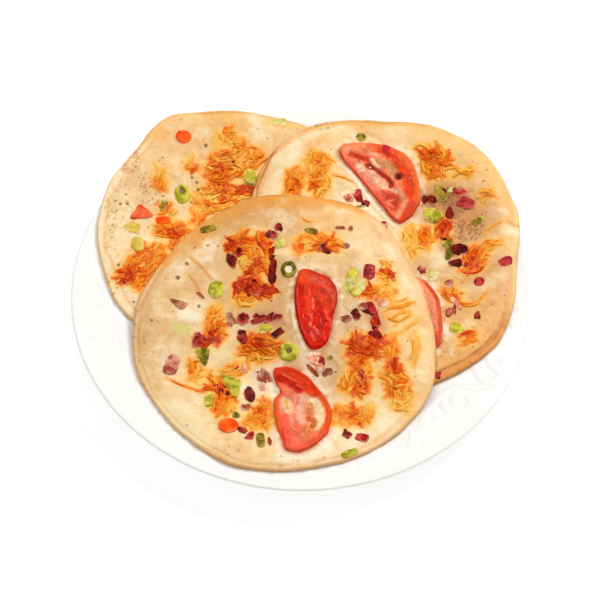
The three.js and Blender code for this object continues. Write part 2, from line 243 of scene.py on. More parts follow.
def disc(count):
    """A round sheet of triangles: each point's share of the way out, its direction, and the faces.
    Ring k has 6k points, so they are evenly spaced."""
    shares, turns, faces, start = [np.zeros(1)], [np.zeros(1)], [], 0
    for k in range(count):
        around = 6 * (k + 1)
        shares.append(np.full(around, (k + 1) / count))
        turns.append(np.arange(around) / around * TAU)
        following = start + max(6 * k, 1)
        sector, j = [part.ravel() for part in np.meshgrid(np.arange(6), np.arange(k + 1), indexing="ij")]
        inner = start + (sector * k + j) % max(6 * k, 1)
        outer = following + sector * (k + 1) + j
        beyond = following + (sector * (k + 1) + j + 1) % around
        faces.append(np.stack([inner, outer, beyond], axis=1))
        if k:
            further = start + (sector * k + j + 1) % (6 * k)
            faces.append(np.stack([inner, beyond, further], axis=1)[j < k])
        start = following
    return np.concatenate(shares), np.concatenate(turns), np.vstack(faces)


def last_ring(rings):
    """The numbers of the points on a disc's edge."""
    count = 1 + 3 * rings * (rings + 1)
    return np.arange(count - 6 * rings, count)


def band(lower, upper):
    """Faces between two rings with equally many points, given as lists of point numbers."""
    low_next, up_next = np.roll(lower, -1), np.roll(upper, -1)
    return np.vstack([np.stack([lower, low_next, up_next], 1), np.stack([lower, up_next, upper], 1)])


def bands(rings):
    """Faces between each of some rings and the next."""
    return np.vstack([band(lower, upper) for lower, upper in zip(rings, rings[1:])])


def cap(middle, ring, faces_up):
    """Faces from one point to a ring round it."""
    following = np.roll(ring, -1)
    pair = (ring, following) if faces_up else (following, ring)
    return np.stack([np.full(len(ring), middle), *pair], axis=1)


STRAND_SIDES = 6


def strand(path, half_width, half_height, twist):
    """A closed strand along a path, flattened and twisted, with its ends drawn in."""
    ahead = np.gradient(path, axis=0)
    ahead /= np.linalg.norm(ahead, axis=1)[:, None]
    side = np.cross(UP, ahead)
    side /= np.linalg.norm(side, axis=1)[:, None]
    above = np.cross(ahead, side)
    t = np.linspace(0, 1, len(path))
    roll = (twist * (t - 0.5))[:, None]
    side, above = side * np.cos(roll) + above * np.sin(roll), above * np.cos(roll) - side * np.sin(roll)
    taper = (0.35 + 0.65 * ease(np.minimum(t, 1 - t) * 5))[:, None, None]
    turn = (np.arange(STRAND_SIDES) / STRAND_SIDES * TAU)[:, None]
    across = half_width * np.cos(turn) * side[:, None] + half_height * np.sin(turn) * above[:, None]
    points = path[:, None] + taper * across
    rings = np.arange(len(path) * STRAND_SIDES).reshape(-1, STRAND_SIDES)
    faces = [bands(rings)]
    for ring, order in ((rings[0], (0, 2, 1)), (rings[-1], (0, 1, 2))):
        fan = np.stack([np.full(STRAND_SIDES - 2, ring[0]), ring[1:-1], ring[2:]], axis=1)
        faces.append(fan[:, order])
    return points.reshape(-1, 3), np.vstack(faces)


# ---- Materials ----
BUMP_STRENGTH = 0.58
COAT_ROUGHNESS = 0.12
SOFT_SCALE = 0.0012


def fill(node, values):
    """Sets inputs of a shader node by name."""
    for name, value in values.items():
        node.inputs[name].default_value = value


def painted(name, roughness, grain_size, grain_depth, bump, shine, soft, soft_reach, coat):
    """A material that takes each point's colour, uneven at a fine scale in colour, gloss and height."""
    material = bpy.data.materials.new(name)
    material.use_nodes = True
    nodes, links = material.node_tree.nodes, material.node_tree.links
    shader = nodes["Principled BSDF"]
    place = nodes.new("ShaderNodeTexCoord")
    noise = nodes.new("ShaderNodeTexNoise")
    fill(noise, {"Scale": 1 / (grain_size * MM), "Detail": 4})
    links.new(place.outputs["Object"], noise.inputs["Vector"])

    def uneven(low, high):
        """A value that the noise moves between two others."""
        ramp = nodes.new("ShaderNodeMapRange")
        fill(ramp, {"From Min": 0.3, "From Max": 0.7, "To Min": low, "To Max": high})
        links.new(noise.outputs["Fac"], ramp.inputs["Value"])
        return ramp.outputs["Result"]

    paint = nodes.new("ShaderNodeAttribute")
    paint.attribute_name = "Paint"
    tint = nodes.new("ShaderNodeVectorMath")
    tint.operation = "SCALE"
    links.new(paint.outputs["Color"], tint.inputs[0])
    links.new(uneven(1 - grain_depth, 1 + grain_depth), tint.inputs["Scale"])
    links.new(tint.outputs["Vector"], shader.inputs["Base Color"])
    links.new(uneven(roughness * 0.8, roughness * 1.25), shader.inputs["Roughness"])
    relief = nodes.new("ShaderNodeBump")
    fill(relief, {"Strength": BUMP_STRENGTH, "Distance": bump * MM})
    links.new(noise.outputs["Fac"], relief.inputs["Height"])
    links.new(relief.outputs["Normal"], shader.inputs["Normal"])
    fill(shader, {
        "Specular IOR Level": shine, "Coat Weight": coat, "Coat Roughness": COAT_ROUGHNESS,
        "Subsurface Weight": soft, "Subsurface Radius": soft_reach, "Subsurface Scale": SOFT_SCALE,
    })
    return material


# Roughness, the grain's size and depth, bump, shine, softness, how far light goes in, and coat.
LOOKS = {
    "batter": (0.48, 1.6, 0.05, 0.12, 0.3, 0.25, (1.0, 0.6, 0.35), 0.06),
    "carrot": (0.4, 0.9, 0.06, 0.04, 0.06, 0.08, (0.6, 0.3, 0.12), 0.04),
    "tomato": (0.16, 1.1, 0.07, 0.13, 0.07, 0, (1, 1, 1), 0.07),
    "seed": (0.3, 0.8, 0.08, 0.05, 0.3, 0.3, (1.0, 0.7, 0.4), 0.2),
    "chilli": (0.3, 1.4, 0.1, 0.04, 0.08, 0.15, (0.6, 0.8, 0.3), 0.07),
    "onion": (0.3, 1.2, 0.14, 0.05, 0.06, 0.06, (1.0, 0.4, 0.3), 0.06),
    "glaze": (0.09, 14, 0.01, 0.05, 0.3, 0, (1, 1, 1), 0.3),
}
MATERIALS = {name: painted(name, *look) for name, look in LOOKS.items()}


# ---- Plate ----
# The floor ends at one radius and the cone of the rim starts at the next.
FLOOR_HEIGHT = 6.5
FLOOR_RADIUS = 55
CONE_RADIUS = 105
FLOOR_WALL = 3.6
RIM_WALL = 3.4
RIM_ABOVE = 0.3
FOOT_OUTER = 66
FOOT_INNER = 61
PLATE_AROUND = 640
RIM_STEP = 0.62
PLATE_WHITE = (252, 252, 250)
SCROLLS = 8
SCROLL_START = math.radians(-41)
SCROLL_HEIGHT = 0.42
SCROLL_INSET = 17
SCROLL_REACH = 15
RIDGE_WIDTH = 2.2
LEAF_WIDTH = 3.0
# Lines along the rim and across it, from the middle of a scroll.
LEAVES = [
    [(14, -9), (18, -1), (16, 6)],
    [(22, -8), (25, 1), (23, 8)],
    [(-20, 9), (-20, 1), (-26, -5)],
    [(-28, 9), (-31, 2), (-38, -2)],
    [(12, -11), (24, -13), (34, -11)],
]
STEM = [(-34, 7), (-22, 9.5), (-13, 3), (-9, -7), (2, -12), (16, -10), (28, -4)]


def plate_top(radius, rim_radius, rim_height):
    """The height of the upper face: a flat floor, a curve up from it, and a straight cone."""
    width = CONE_RADIUS - FLOOR_RADIUS
    slope = (rim_height - FLOOR_HEIGHT) / (width / 2 + rim_radius - CONE_RADIUS)
    run = np.clip(radius - FLOOR_RADIUS, 0, width)
    return FLOOR_HEIGHT + slope * run**2 / (2 * width) + slope * np.maximum(radius - CONE_RADIUS, 0)


def scroll_lines():
    """One scroll of the moulded rim: places along the rim and across it, from the scroll's middle."""
    lines = [(smooth_line(STEM, 2).tolist(), RIDGE_WIDTH)]
    for side, size, middle in ((1, 10.5, (0, -1)), (-1, 6.5, (36, 3))):
        turn = np.linspace(0, 2.6 * math.pi, 26)
        radius = size * (1 - turn / (3.3 * math.pi))
        volute = np.stack(polar(radius, side * turn - 0.55 * math.pi), axis=1) + middle
        lines.append((volute.tolist(), RIDGE_WIDTH))
    return lines + [(leaf, LEAF_WIDTH) for leaf in LEAVES]


def rim_relief(angle, radius, middle):
    """The height of the moulded scrolls at places on the rim, as a share. Every second one is
    mirrored."""
    step = TAU / SCROLLS
    lines = scroll_lines()
    height = np.zeros(np.shape(angle))
    for k in range(SCROLLS):
        away = (angle - SCROLL_START - k * step + math.pi) % TAU - math.pi
        near = (np.abs(away) < step) & (radius > middle - SCROLL_REACH)
        along = (away * middle)[near] * (1 if k % 2 else -1)
        for line, width in lines:
            distance = off_line(along, radius[near] - middle, line)
            ridge = np.sqrt(np.clip(1 - (distance / width) ** 2, 0, 1))
            height[near] = np.maximum(height[near], ridge)
    return height


def plate_profile(rim, top):
    """Radius and height from the middle of the underside out to the lip, and then over the top."""
    under = FLOOR_HEIGHT - FLOOR_WALL
    foot = [
        (0, under), (FOOT_INNER - 4, under), (FOOT_INNER - 1.5, under - 0.4), (FOOT_INNER + 0.6, 0.7),
        (FOOT_INNER + 1.4, 0.05), (FOOT_OUTER - 1.2, 0), (FOOT_OUTER - 0.2, 0.6),
        (FOOT_OUTER + 2, under - 0.3), (FOOT_OUTER + 6, under + 0.1),
    ]
    back = [(r, top(r) - FLOOR_WALL) for r in np.linspace(FOOT_OUTER + 12, CONE_RADIUS, 8)]
    back += [(r, top(r) - RIM_WALL) for r in np.linspace(CONE_RADIUS + 8, rim - 3, 5)]
    lip = [
        (rim - 1.4, top(rim) - RIM_WALL + 0.15), (rim - 0.5, top(rim) - RIM_WALL + 0.7),
        (rim - 0.05, top(rim) - RIM_WALL / 2), (rim - 0.2, top(rim) - 0.9), (rim - 0.8, top(rim) - 0.42),
        (rim - 1.8, top(rim - 1.8) - 0.1),
    ]
    front = [(r, top(r)) for r in np.arange(rim - 2.6, CONE_RADIUS - 4, -RIM_STEP)]
    front += [(r, top(r)) for r in np.linspace(CONE_RADIUS - 6, 0, 26)]
    return np.array(foot + back + lip), np.array(front)


def make_plate():
    """A lathe with scrolls raised on its rim."""
    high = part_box("plate")[1]
    rim = high.x / MM
    back, front = plate_profile(rim, lambda radius: plate_top(radius, rim, high.z / MM + RIM_ABOVE))
    profile = np.vstack([back, front])
    turn = np.arange(PLATE_AROUND) / PLATE_AROUND * TAU
    turn, radius = np.meshgrid(turn, profile[1:-1, 0])
    height = np.repeat(profile[1:-1, 1:], PLATE_AROUND, axis=1)
    first = len(back) - 1
    relief = rim_relief(turn[first:], radius[first:], rim - SCROLL_INSET)
    fade = ease((rim - 2.4 - radius[first:]) / 2.5)
    height[first:] += SCROLL_HEIGHT * relief * fade
    points = np.stack([*polar(radius, turn), height], axis=-1).reshape(-1, 3)
    points = np.vstack([points, [0, 0, profile[0, 1]], [0, 0, profile[-1, 1]]])
    rings = np.arange(radius.size).reshape(radius.shape)
    ends = [cap(radius.size, rings[0], False), cap(radius.size + 1, rings[-1], True)]
    heap = Heap()
    heap.add(points, np.vstack([bands(rings), *ends]), np.array(PLATE_WHITE))
    heap.make("dinner_plate", "glaze", "plate", "plate")


# ---- Pancakes ----
# The thickness inside and at the edge, how far in it tapers, and how far the side bulges.
BODY = 5.5
EDGE = 2.6
EDGE_TAPER = 12
LIP = 1.3
# How ragged the edge is, coarse and fine, how far the looks stay inside the solid, and how much
# the top swells.
RAGGED = 2.2
RAGGED_FINE = 0.5
EDGE_GAP = 0.1
SWELL = 0.16
TOP_RINGS = 138
UNDER_RINGS = TOP_RINGS // 3
SIDE_RINGS = 7
# The underside is read on rings between two shares of the way out, and smoothed over a few rings.
POLAR_RINGS = 42
POLAR_START, POLAR_END = 0.01, 0.985
PADDING = 8
KERNEL_HALF = 6
KERNEL_SPREAD = 2.2
# The tone of the carrot's juice where there are no shreds.
PLAIN_TONE = 0.3
# Over how much of a turn a band along the edge begins and ends.
BAND_END = math.radians(14)
PORE_SCALE = 1.15
PIT_DEPTH = 0.36
PIT_DEEPEST = 0.9
SPECK_SIZES = (0.5, 1.3)
# How far the carrot's stain and its pool of juice spread, and how far a piece lifts the batter.
STAIN_SPREAD = 2.5
POOL_SPREAD = 1.3
CHIP_SPREAD = 0.8
CHIP_LIFT = 0.7
BATTER_TINT = (0.985, 0.972, 0.952)
MOTTLE_DARK = (204, 146, 86)
MOTTLE_LIGHT = (255, 245, 224)
BROWNED = (196, 132, 70)
GRIDDLED = (226.0, 168, 100)
GRIDDLED_DARK = (168, 98, 44)
PORE = (134, 92, 42)
PORE_LIP = (250, 224, 180)
STAIN = (250, 196, 104)
# Juice stain and painted contact shade, in a ring round each cut piece.
CHIP_STAIN_AND_SHADE = (170, 84, 54)
PUFF = (255, 243, 216)


class Pancake:
    """One pancake: its outline and underside, and its grids of height and colour. The hub is its
    middle, measured from the middle of its solid."""

    def __init__(self, node, hub, seed):
        self.node = node
        self.name = node.split("_")[1]
        self.middle = middle_of(node) + np.array(hub)
        self.seed = seed
        rng = self.random(0)
        ragged = RAGGED * softened(rng.standard_normal(DIRECTIONS), 5)
        ragged += RAGGED_FINE * softened(rng.standard_normal(DIRECTIONS), 2)
        whole = softened(solid_reach(node, self.middle), 1.8)
        self.reach = whole - EDGE_GAP - np.clip(ragged, -0.5, 1.2)
        self.under = self.read_underside()
        self.angle = np.arctan2(GRID_Y, GRID_X)
        self.inset = inside(self.reach, GRID_X, GRID_Y)
        thick = EDGE + (BODY - EDGE) * ease(self.inset / EDGE_TAPER)
        self.plain = self.underside(self.angle, np.hypot(GRID_X, GRID_Y)) + thick
        self.plain += SWELL * grain(rng, 9) * ease(self.inset / 8)
        self.top = self.plain.copy()
        self.paint = np.zeros(GRID_X.shape + (3,))
        self.chips, self.shreds, self.shred_tone = np.zeros((3,) + GRID_X.shape)
        self.shred_tone += PLAIN_TONE
        self.veil = ease(0.35 + 0.45 * grain(rng, 1.1) + 0.4 * grain(rng, 4))
        self.blotch = grain(rng, 0.55)
        self.drift = grain(rng, 2.2)

    def random(self, purpose):
        """Each purpose has draws of its own, so that one doesn't shift the others."""
        return np.random.default_rng([self.seed, purpose])

    def read_underside(self):
        """Heights of the solid's underside by share of the way out and by direction, smoothed."""
        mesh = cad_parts[self.node].data
        tree = BVHTree.FromPolygons([v.co for v in mesh.vertices], [p.vertices[:] for p in mesh.polygons])
        shares = np.linspace(POLAR_START, POLAR_END, POLAR_RINGS)
        heights = np.empty((POLAR_RINGS, DIRECTIONS // 2))
        for i, share in enumerate(shares):
            for j, angle in enumerate(AROUND[::2]):
                x, y = self.middle + polar(share * self.reach[2 * j], angle)
                hit = tree.ray_cast(Vector((x * MM, y * MM, -1)), Vector((0, 0, 1)))[0]
                heights[i, j] = hit.z / MM
        # The rows go on past both ends, so that the smoothing is as even there.
        after = heights[-1:] * 2 - heights[-PADDING - 1:-1][::-1]
        padded = np.vstack([heights[1:PADDING + 1][::-1], heights, after])
        kernel = np.exp(-0.5 * (np.arange(-KERNEL_HALF, KERNEL_HALF + 1) / KERNEL_SPREAD) ** 2)
        kernel /= kernel.sum()
        smoothed = np.apply_along_axis(lambda line: np.convolve(line, kernel, "same"), 0, padded)
        smoothed = smoothed[PADDING:-PADDING]
        for i, share in enumerate(shares):
            smoothed[i] = softened(smoothed[i], min(1.2 / share, 14))
        return smoothed

    def underside(self, angle, radius):
        """The height of the underside at some directions and distances from the middle."""
        share = radius / reach_at(self.reach, angle)
        row = (share - POLAR_START) / (POLAR_END - POLAR_START) * (POLAR_RINGS - 1)
        r = np.clip(row.astype(int), 0, POLAR_RINGS - 2)
        t = np.clip(np.maximum(row, 0) - r, 0, 2)
        directions = self.under.shape[1]
        column = np.mod(angle, TAU) / TAU * directions
        s = column - np.floor(column)
        c = column.astype(int) % directions
        after = (c + 1) % directions
        near = self.under[r, c] * (1 - s) + self.under[r, after] * s
        far = self.under[r + 1, c] * (1 - s) + self.under[r + 1, after] * s
        return near + (far - near) * t

    def lay(self, stroke):
        """Adds one stroke to the part of the grids that it reaches."""
        line, width, *_, soft = stroke
        x, y = np.array(line, float).T
        part = window(x, y, width / 2 + soft)
        lay(stroke, GRID_X[part], GRID_Y[part], self.top[part], self.paint[part])

    def tint(self, colour, share):
        """Moves the colours towards one, by a share for each place."""
        self.paint[...] = mixed(self.paint, colour, share)

    def wash(self, washes):
        """The ground colour: soft pools that run into one another. Each is a place, size and colour."""
        total = np.full(GRID_X.shape, 1e-9)
        colour = np.zeros_like(self.paint)
        for x, y, size, shade in washes:
            weight = np.exp(-((GRID_X - x) ** 2 + (GRID_Y - y) ** 2) / (2 * size**2)) + 1e-6
            total += weight
            colour += weight[..., None] * np.array(shade, float)
        self.paint[...] = colour / total[..., None] * BATTER_TINT
        rng = self.random(1)
        mottle = 0.6 * grain(rng, 4.5) + 0.5 * grain(rng, 1.6) + 0.25 * grain(rng, 0.6)
        self.tint(MOTTLE_DARK, np.clip(mottle - 0.1, 0, 2) * 0.19)
        self.tint(MOTTLE_LIGHT, np.clip(-mottle - 0.1, 0, 2) * 0.27)
        self.top += 0.07 * grain(rng, 0.9) + 0.12 * grain(rng, 2.6) - 0.08 * mottle

    def rim(self, edges):
        """Bands that follow the edge: directions from and to, inset, width, colour, strength, rise."""
        rng = self.random(2)
        wobble = 0.5 * grain(rng, 5)
        for start, stop, inset, width, shade, strength, rise in edges:
            half = math.radians((stop - start) / 2)
            off = np.abs((self.angle - math.radians(start) - half + math.pi) % TAU - math.pi)
            cover = ease((half - off) / BAND_END + 0.5)
            soft = max(1.4, 0.7 * width)
            cover = cover * (1 - ease((np.abs(self.inset - inset + wobble) - width / 2 + soft / 2) / soft))
            cover = np.clip(cover * (1 + 0.25 * grain(rng, 2.2)), 0, 1)
            self.top += rise * cover
            self.tint(shade, strength * cover)

    def pore(self, x, y, size):
        """A pit painted dark brown inside, with a pale lip."""
        size = PORE_SCALE * size
        part = window(x, y, size * 1.5)
        away = np.hypot(GRID_X[part] - x, GRID_Y[part] - y) / (size / 2)
        pit = 1 - ease(away / 1.15)
        lip = np.exp(-(((away - 1.35) / 0.35) ** 2))
        self.top[part] += 0.07 * size * lip - min(PIT_DEPTH * size, PIT_DEEPEST) * pit
        lipped = mixed(self.paint[part], PORE_LIP, 0.25 * lip)
        self.paint[part] = mixed(lipped, PORE, 0.88 * ease(pit * 1.7))

    def specks(self, zones):
        """Fine browned dots scattered over oval zones: place, size of the zone, how many, colour."""
        rng = self.random(3)
        for x, y, width, length, count, shade in zones:
            for _ in range(count):
                turn, out = rng.uniform(0, TAU), math.sqrt(rng.uniform())
                size = rng.uniform(*SPECK_SIZES)
                spot = (x + width / 2 * out * math.cos(turn), y + length / 2 * out * math.sin(turn))
                self.lay(([spot], size, shade, rng.uniform(0.3, 0.8), -0.12 * size, size))

    def bury(self, x, y, reach, soft, up=0.0, hole=0.0):
        """Notes where a piece lies in the batter: inside its outline, but not in its hole."""
        part = window(x, y, reach.max() + soft)
        dx, dy = GRID_X[part] - x, GRID_Y[part] - y
        cover = ease(inside(reach, dx, dy) / soft + 0.5)
        if hole:
            cover = cover * ease((np.hypot(dx, dy - up) - hole) / soft + 0.5)
        self.chips[part] = np.maximum(self.chips[part], cover)

    def soak(self):
        """Stains the batter round what lies in it, paints shade beside the cut pieces, and raises it."""
        chips, shreds = self.chips, self.shreds
        # Round the carrot: a wide stain, a pool of juice, and a bed right under the shreds.
        wide, deep = blurred(shreds, STAIN_SPREAD), np.clip(blurred(shreds, 0.45), 0, 1)
        pool = np.clip(1.7 * blurred(shreds, POOL_SPREAD) - 0.3 + 0.12 * self.drift, 0, 1)
        bare = self.veil**2
        self.tint(STAIN, np.clip(2.1 * wide, 0, 0.85) * (1 - 0.4 * bare))
        ground = blurred(self.shred_tone, 0.9) + 0.05 * self.blotch - 0.35 * (1 - pool)
        self.tint(shred_colour(ground), 0.95 * pool * (1 - 0.2 * bare))
        juice = self.shred_tone + 0.08 * self.blotch
        self.tint(shred_colour(juice), 0.95 * deep * (1 - 0.55 * bare))
        self.top += 0.3 * np.clip(wide, 0, 1) + 0.1 * self.blotch * deep
        # Round each cut piece: a lifted edge, a ring of stain and painted shade, and pale puffed batter
        # further out.
        self.top += CHIP_LIFT * blurred(chips, CHIP_SPREAD)
        self.tint(CHIP_STAIN_AND_SHADE, np.clip(1.1 * blurred(chips, 1.4) * (1 - chips), 0, 0.32))
        self.tint(PUFF, np.clip(2.6 * blurred(chips, 4) * (1 - 1.6 * wide), 0, 0.7) * self.veil)

    def sheet(self, rings):
        """A round sheet that ends at the lip: directions, distances and faces."""
        shares, turns, faces = disc(rings)
        return turns, shares * (reach_at(self.reach, turns) - LIP), faces

    def make(self):
        """Closes the top, a rounded side and the underside into one mesh."""
        heap = Heap()
        turns, radius, faces = self.sheet(TOP_RINGS)
        x, y = polar(radius, turns)
        top, paint = sample(self.top, x, y), sample(self.paint, x, y)
        heap.add(np.stack([x, y, top], axis=1), faces, paint)
        edge = last_ring(TOP_RINGS)
        angle, reach, rim_paint = turns[edge], reach_at(self.reach, turns[edge]), paint[edge]
        under = self.underside(angle, reach - LIP)
        middle, half = (top[edge] + under) / 2, (top[edge] - under) / 2
        last = edge
        for k in range(1, SIDE_RINGS + 1):
            lean = math.pi / 2 - math.pi * k / (SIDE_RINGS + 1)
            x, y = polar(reach - LIP + LIP * math.cos(lean), angle)
            shade = mixed(rim_paint, BROWNED, np.full(len(edge), 0.15 + 0.65 * (k / SIDE_RINGS) ** 2))
            ring = np.arange(len(edge)) + heap.count
            points = np.stack([x, y, middle + half * math.sin(lean)], axis=1)
            heap.add(points, band(ring, last) - heap.count, shade)
            last = ring
        self.close_below(heap, last)
        for points in heap.points:
            points[:, :2] += self.middle
        heap.make(f"pancake_{self.name}", "batter", "uttapam", self.node)

    def close_below(self, heap, last):
        """Adds the underside. The ring that it joins has three times as many points as its own edge."""
        turns, radius, faces = self.sheet(UNDER_RINGS)
        x, y = polar(radius, turns)
        rng = self.random(4)
        toast = 0.5 + 0.5 * sample(grain(rng, 1.6), x, y) + 0.5 * sample(grain(rng, 6), x, y)
        shade = mixed(np.full((len(x), 3), GRIDDLED), GRIDDLED_DARK, np.clip(toast, 0, 1) * 0.75)
        coarse = last_ring(UNDER_RINGS) + heap.count
        fine = last.reshape(len(coarse), -1)
        following = np.roll(last, -1).reshape(fine.shape)
        seam = [np.stack([coarse, following[:, k], fine[:, k]], axis=1) for k in range(fine.shape[1])]
        seam.append(np.stack([coarse, np.roll(coarse, -1), following[:, -1]], axis=1))
        points = np.stack([x, y, self.underside(turns, radius)], axis=1)
        heap.add(points, np.vstack([faces[:, ::-1], *[part - heap.count for part in seam]]), shade)


# ---- Shreds of carrot ----
SHRED_TONES = np.array([(254, 192, 78), (252, 158, 40), (245, 124, 16), (230, 84, 4), (198, 46, 0)], float)
SHRED_DENSITY = 2.9
SHRED_STEP = 1.15
SHRED_SHORTEST = 5
SHRED_INSET = 1.6
SHRED_SINK = 0.55
HEAP_SPREAD = 1.12
# Half the width of a strand: the least, and how much more it can be in a heap and as a thread.
SHRED_LEAST = 0.45
SHRED_MORE = 1.2
THREAD_MORE = 0.8
SHRED_HALF_HEIGHTS = (0.12, 0.24)
THREAD_LEVEL = 0.14
FILM = (252, 222, 172)


def shred_colour(tone):
    """The colour of a tone from 0, pale, to 1, deep."""
    steps = len(SHRED_TONES) - 1
    return np.stack([np.interp(tone * steps, range(steps + 1), level) for level in SHRED_TONES.T], axis=-1)


def add_shred(pancake, heap, path, tone, level, more, rng):
    """One strand: its ends sink into the batter and its middle lies on it, at its own level."""
    t = np.linspace(0, 1, len(path))
    arch = level + rng.uniform(0, 0.4) * np.sin(math.pi * t) ** 2
    arch -= SHRED_SINK * (1 - ease(np.minimum(t, 1 - t) * 6))
    x, y = path.T
    if inside(pancake.reach, x, y).min() < SHRED_INSET:
        return
    spine = np.stack([x, y, sample(pancake.plain, x, y) + arch], axis=1)
    half_width = SHRED_LEAST + more * rng.uniform() ** 1.6
    half_height = rng.uniform(*SHRED_HALF_HEIGHTS)
    points, faces = strand(spine, half_width, half_height, rng.normal(0, 0.4))
    along = np.repeat(t, STRAND_SIDES)
    tone = tone + 0.2 * sample(pancake.drift, *path.mean(axis=0))
    hue = tone + 0.1 * np.sin(along * rng.uniform(3, 9) + rng.uniform(0, TAU))
    hue += 0.035 * rng.standard_normal(len(along))
    film = 0.2 * (1 - level) * sample(pancake.veil, *points.T[:2]) ** 2
    points[:, :2] += pancake.middle
    heap.add(points, faces, mixed(shred_colour(hue), FILM, film))
    for px, py in path[::2]:
        part = window(px, py, 2)
        cover = 1 - ease((np.hypot(GRID_X[part] - px, GRID_Y[part] - py) - 0.5 * half_width) / 1.2)
        pancake.shreds[part] = np.maximum(pancake.shreds[part], cover)
        pancake.shred_tone[part] += (tone - pancake.shred_tone[part]) * cover


def add_shreds(pancake, heaps, threads):
    """Grated carrot. A heap is a place, half its width and length, a heading, a count and a tone; a
    thread is a tone and a line."""
    heap, rng = Heap(), pancake.random(5)
    for x, y, width, length, heading, count, tone in heaps:
        for _ in range(int(count * SHRED_DENSITY)):
            turn, out = rng.uniform(0, TAU), math.sqrt(rng.uniform())
            longest = SHRED_SHORTEST + 2 + 0.9 * max(width, length)
            steps = int(rng.uniform(SHRED_SHORTEST, longest) / SHRED_STEP) + 2
            s = np.arange(steps) * SHRED_STEP
            bend = rng.normal(0, 0.07)
            direction = math.radians(heading) + rng.normal(0, 0.5) + bend * s
            direction += 0.35 * np.sin(s * rng.uniform(0.3, 0.7) + rng.uniform(0, TAU))
            path = np.cumsum(np.stack(polar(1, direction), axis=1) * SHRED_STEP, axis=0)
            out_x, out_y = HEAP_SPREAD * width * out, HEAP_SPREAD * length * out
            path += np.array([x + out_x * math.cos(turn), y + out_y * math.sin(turn)]) - path.mean(axis=0)
            level = 0.08 + 0.26 * rng.uniform() ** 1.3
            hue = tone + 0.04 + 0.4 * (0.6 - out) - 0.12 * (level - 0.3) + rng.normal(0, 0.11)
            add_shred(pancake, heap, path, hue, level, SHRED_MORE, rng)
    for tone, line in threads:
        add_shred(pancake, heap, smooth_line(line, SHRED_STEP), tone, THREAD_LEVEL, THREAD_MORE, rng)
    heap.make(f"shreds_{pancake.name}", "carrot", "carrot")


# ---- Cut vegetables ----
# The colours of the flesh and of the skin.
TONES = {
    "lime": ((216, 204, 74), (154, 146, 18)), "rind": ((229, 207, 99), (182, 164, 41)),
    "mustard": ((240, 206, 106), (216, 176, 62)), "leaf": ((168, 150, 38), (84, 78, 2)),
    "pale": ((238, 224, 156), (206, 190, 92)), "olive": ((178, 149, 45), (108, 87, 3)),
    "plum": ((178, 54, 44), (92, 0, 4)), "maroon": ((136, 24, 8), (66, 0, 0)),
    "magenta": ((208, 66, 58), (140, 8, 14)), "mauve": ((228, 160, 132), (160, 58, 46)),
    "dusk": ((190, 124, 88), (136, 70, 44)), "fresh": ((220, 211, 113), (178, 173, 51)),
    "pink": ((250, 208, 176), (226, 134, 98)), "brown": ((184, 84, 38), (120, 36, 10)),
    "brick": ((208, 62, 14), (142, 18, 0)), "orange": ((250, 100, 18), (236, 62, 0)),
    "coral": ((246, 112, 62), (236, 70, 18)),
}
# The tones of the crumbs beside a bit. Bits of the other tones have none.
CRUMB_TONES = {
    "lime": ("leaf", "pale"), "leaf": ("lime", "olive"), "pale": ("lime", "pale"),
    "olive": ("leaf", "lime"), "plum": ("maroon", "magenta", "plum"), "pink": ("mauve", "magenta"),
    "magenta": ("plum", "maroon", "pink"), "mauve": ("magenta", "pink", "plum"), "dusk": ("dusk", "mauve"),
    "fresh": ("fresh", "pale"), "brick": ("brick", "maroon"),
}
CHIP_RINGS = 7
CHIP_SINK = 1.2
CHIP_SIDE = 0.55
CHIP_TILTS = (0.03, 0.14)
CUT_RISE = 0.75
RING_RISE = 1.25
BIT_SCALE = 1.2
CRUMB_EVERY = 4
CRUMB_AWAY = 0.38
# The pieces with a smooth round outline.
ROUND = {
    "chilli_left_a", "chilli_left_b", "chilli_front_a", "chilli_front_b", "chilli_front_c",
    "carrot_front_a",
}
# The colour that shows in the hole of a ring, the hole's share of its size, and how far up it sits.
RINGS = {
    "chilli_left_a": ((134, 92, 20), 0.42, 3.6), "chilli_front_a": ((246, 232, 190), 0.55, 0.0),
    "chilli_front_b": ((112, 108, 22), 0.34, 0.6),
}


def chip_outline(width, length, turn, rng):
    """A hand-cut piece: four to seven uneven corners, a little worn."""
    corners = rng.integers(4, 8)
    angle = (np.arange(corners) + rng.uniform(-0.3, 0.3, corners)) / corners * TAU + rng.uniform(0, TAU)
    out = rng.uniform(0.8, 1.15, corners)
    x, y = out * np.cos(angle) * width / 2, out * np.sin(angle) * length / 2
    ends = np.stack(turned(x, y, math.radians(turn)), axis=1)
    return softened(reach_through(ends, np.roll(ends, -1, axis=0)), 2.6) * 1.06


def chip_profile(rise, hole):
    """Share of the way out and height, from the buried foot over the worn edge to the middle."""
    profile = [(0.93, -CHIP_SINK), (1.0, 0.15), (1.0, 0.45 * rise), (0.95, 0.8 * rise), (0.86, 0.97 * rise)]
    inner = np.linspace(0.78, hole or 0.12, CHIP_RINGS)
    profile += [(share, rise * (1 + 0.1 * (1 - share**2))) for share in inner]
    if hole:
        profile += [(hole * 0.93, 0.5 * rise), (hole * 0.93, -CHIP_SINK)]
    return profile


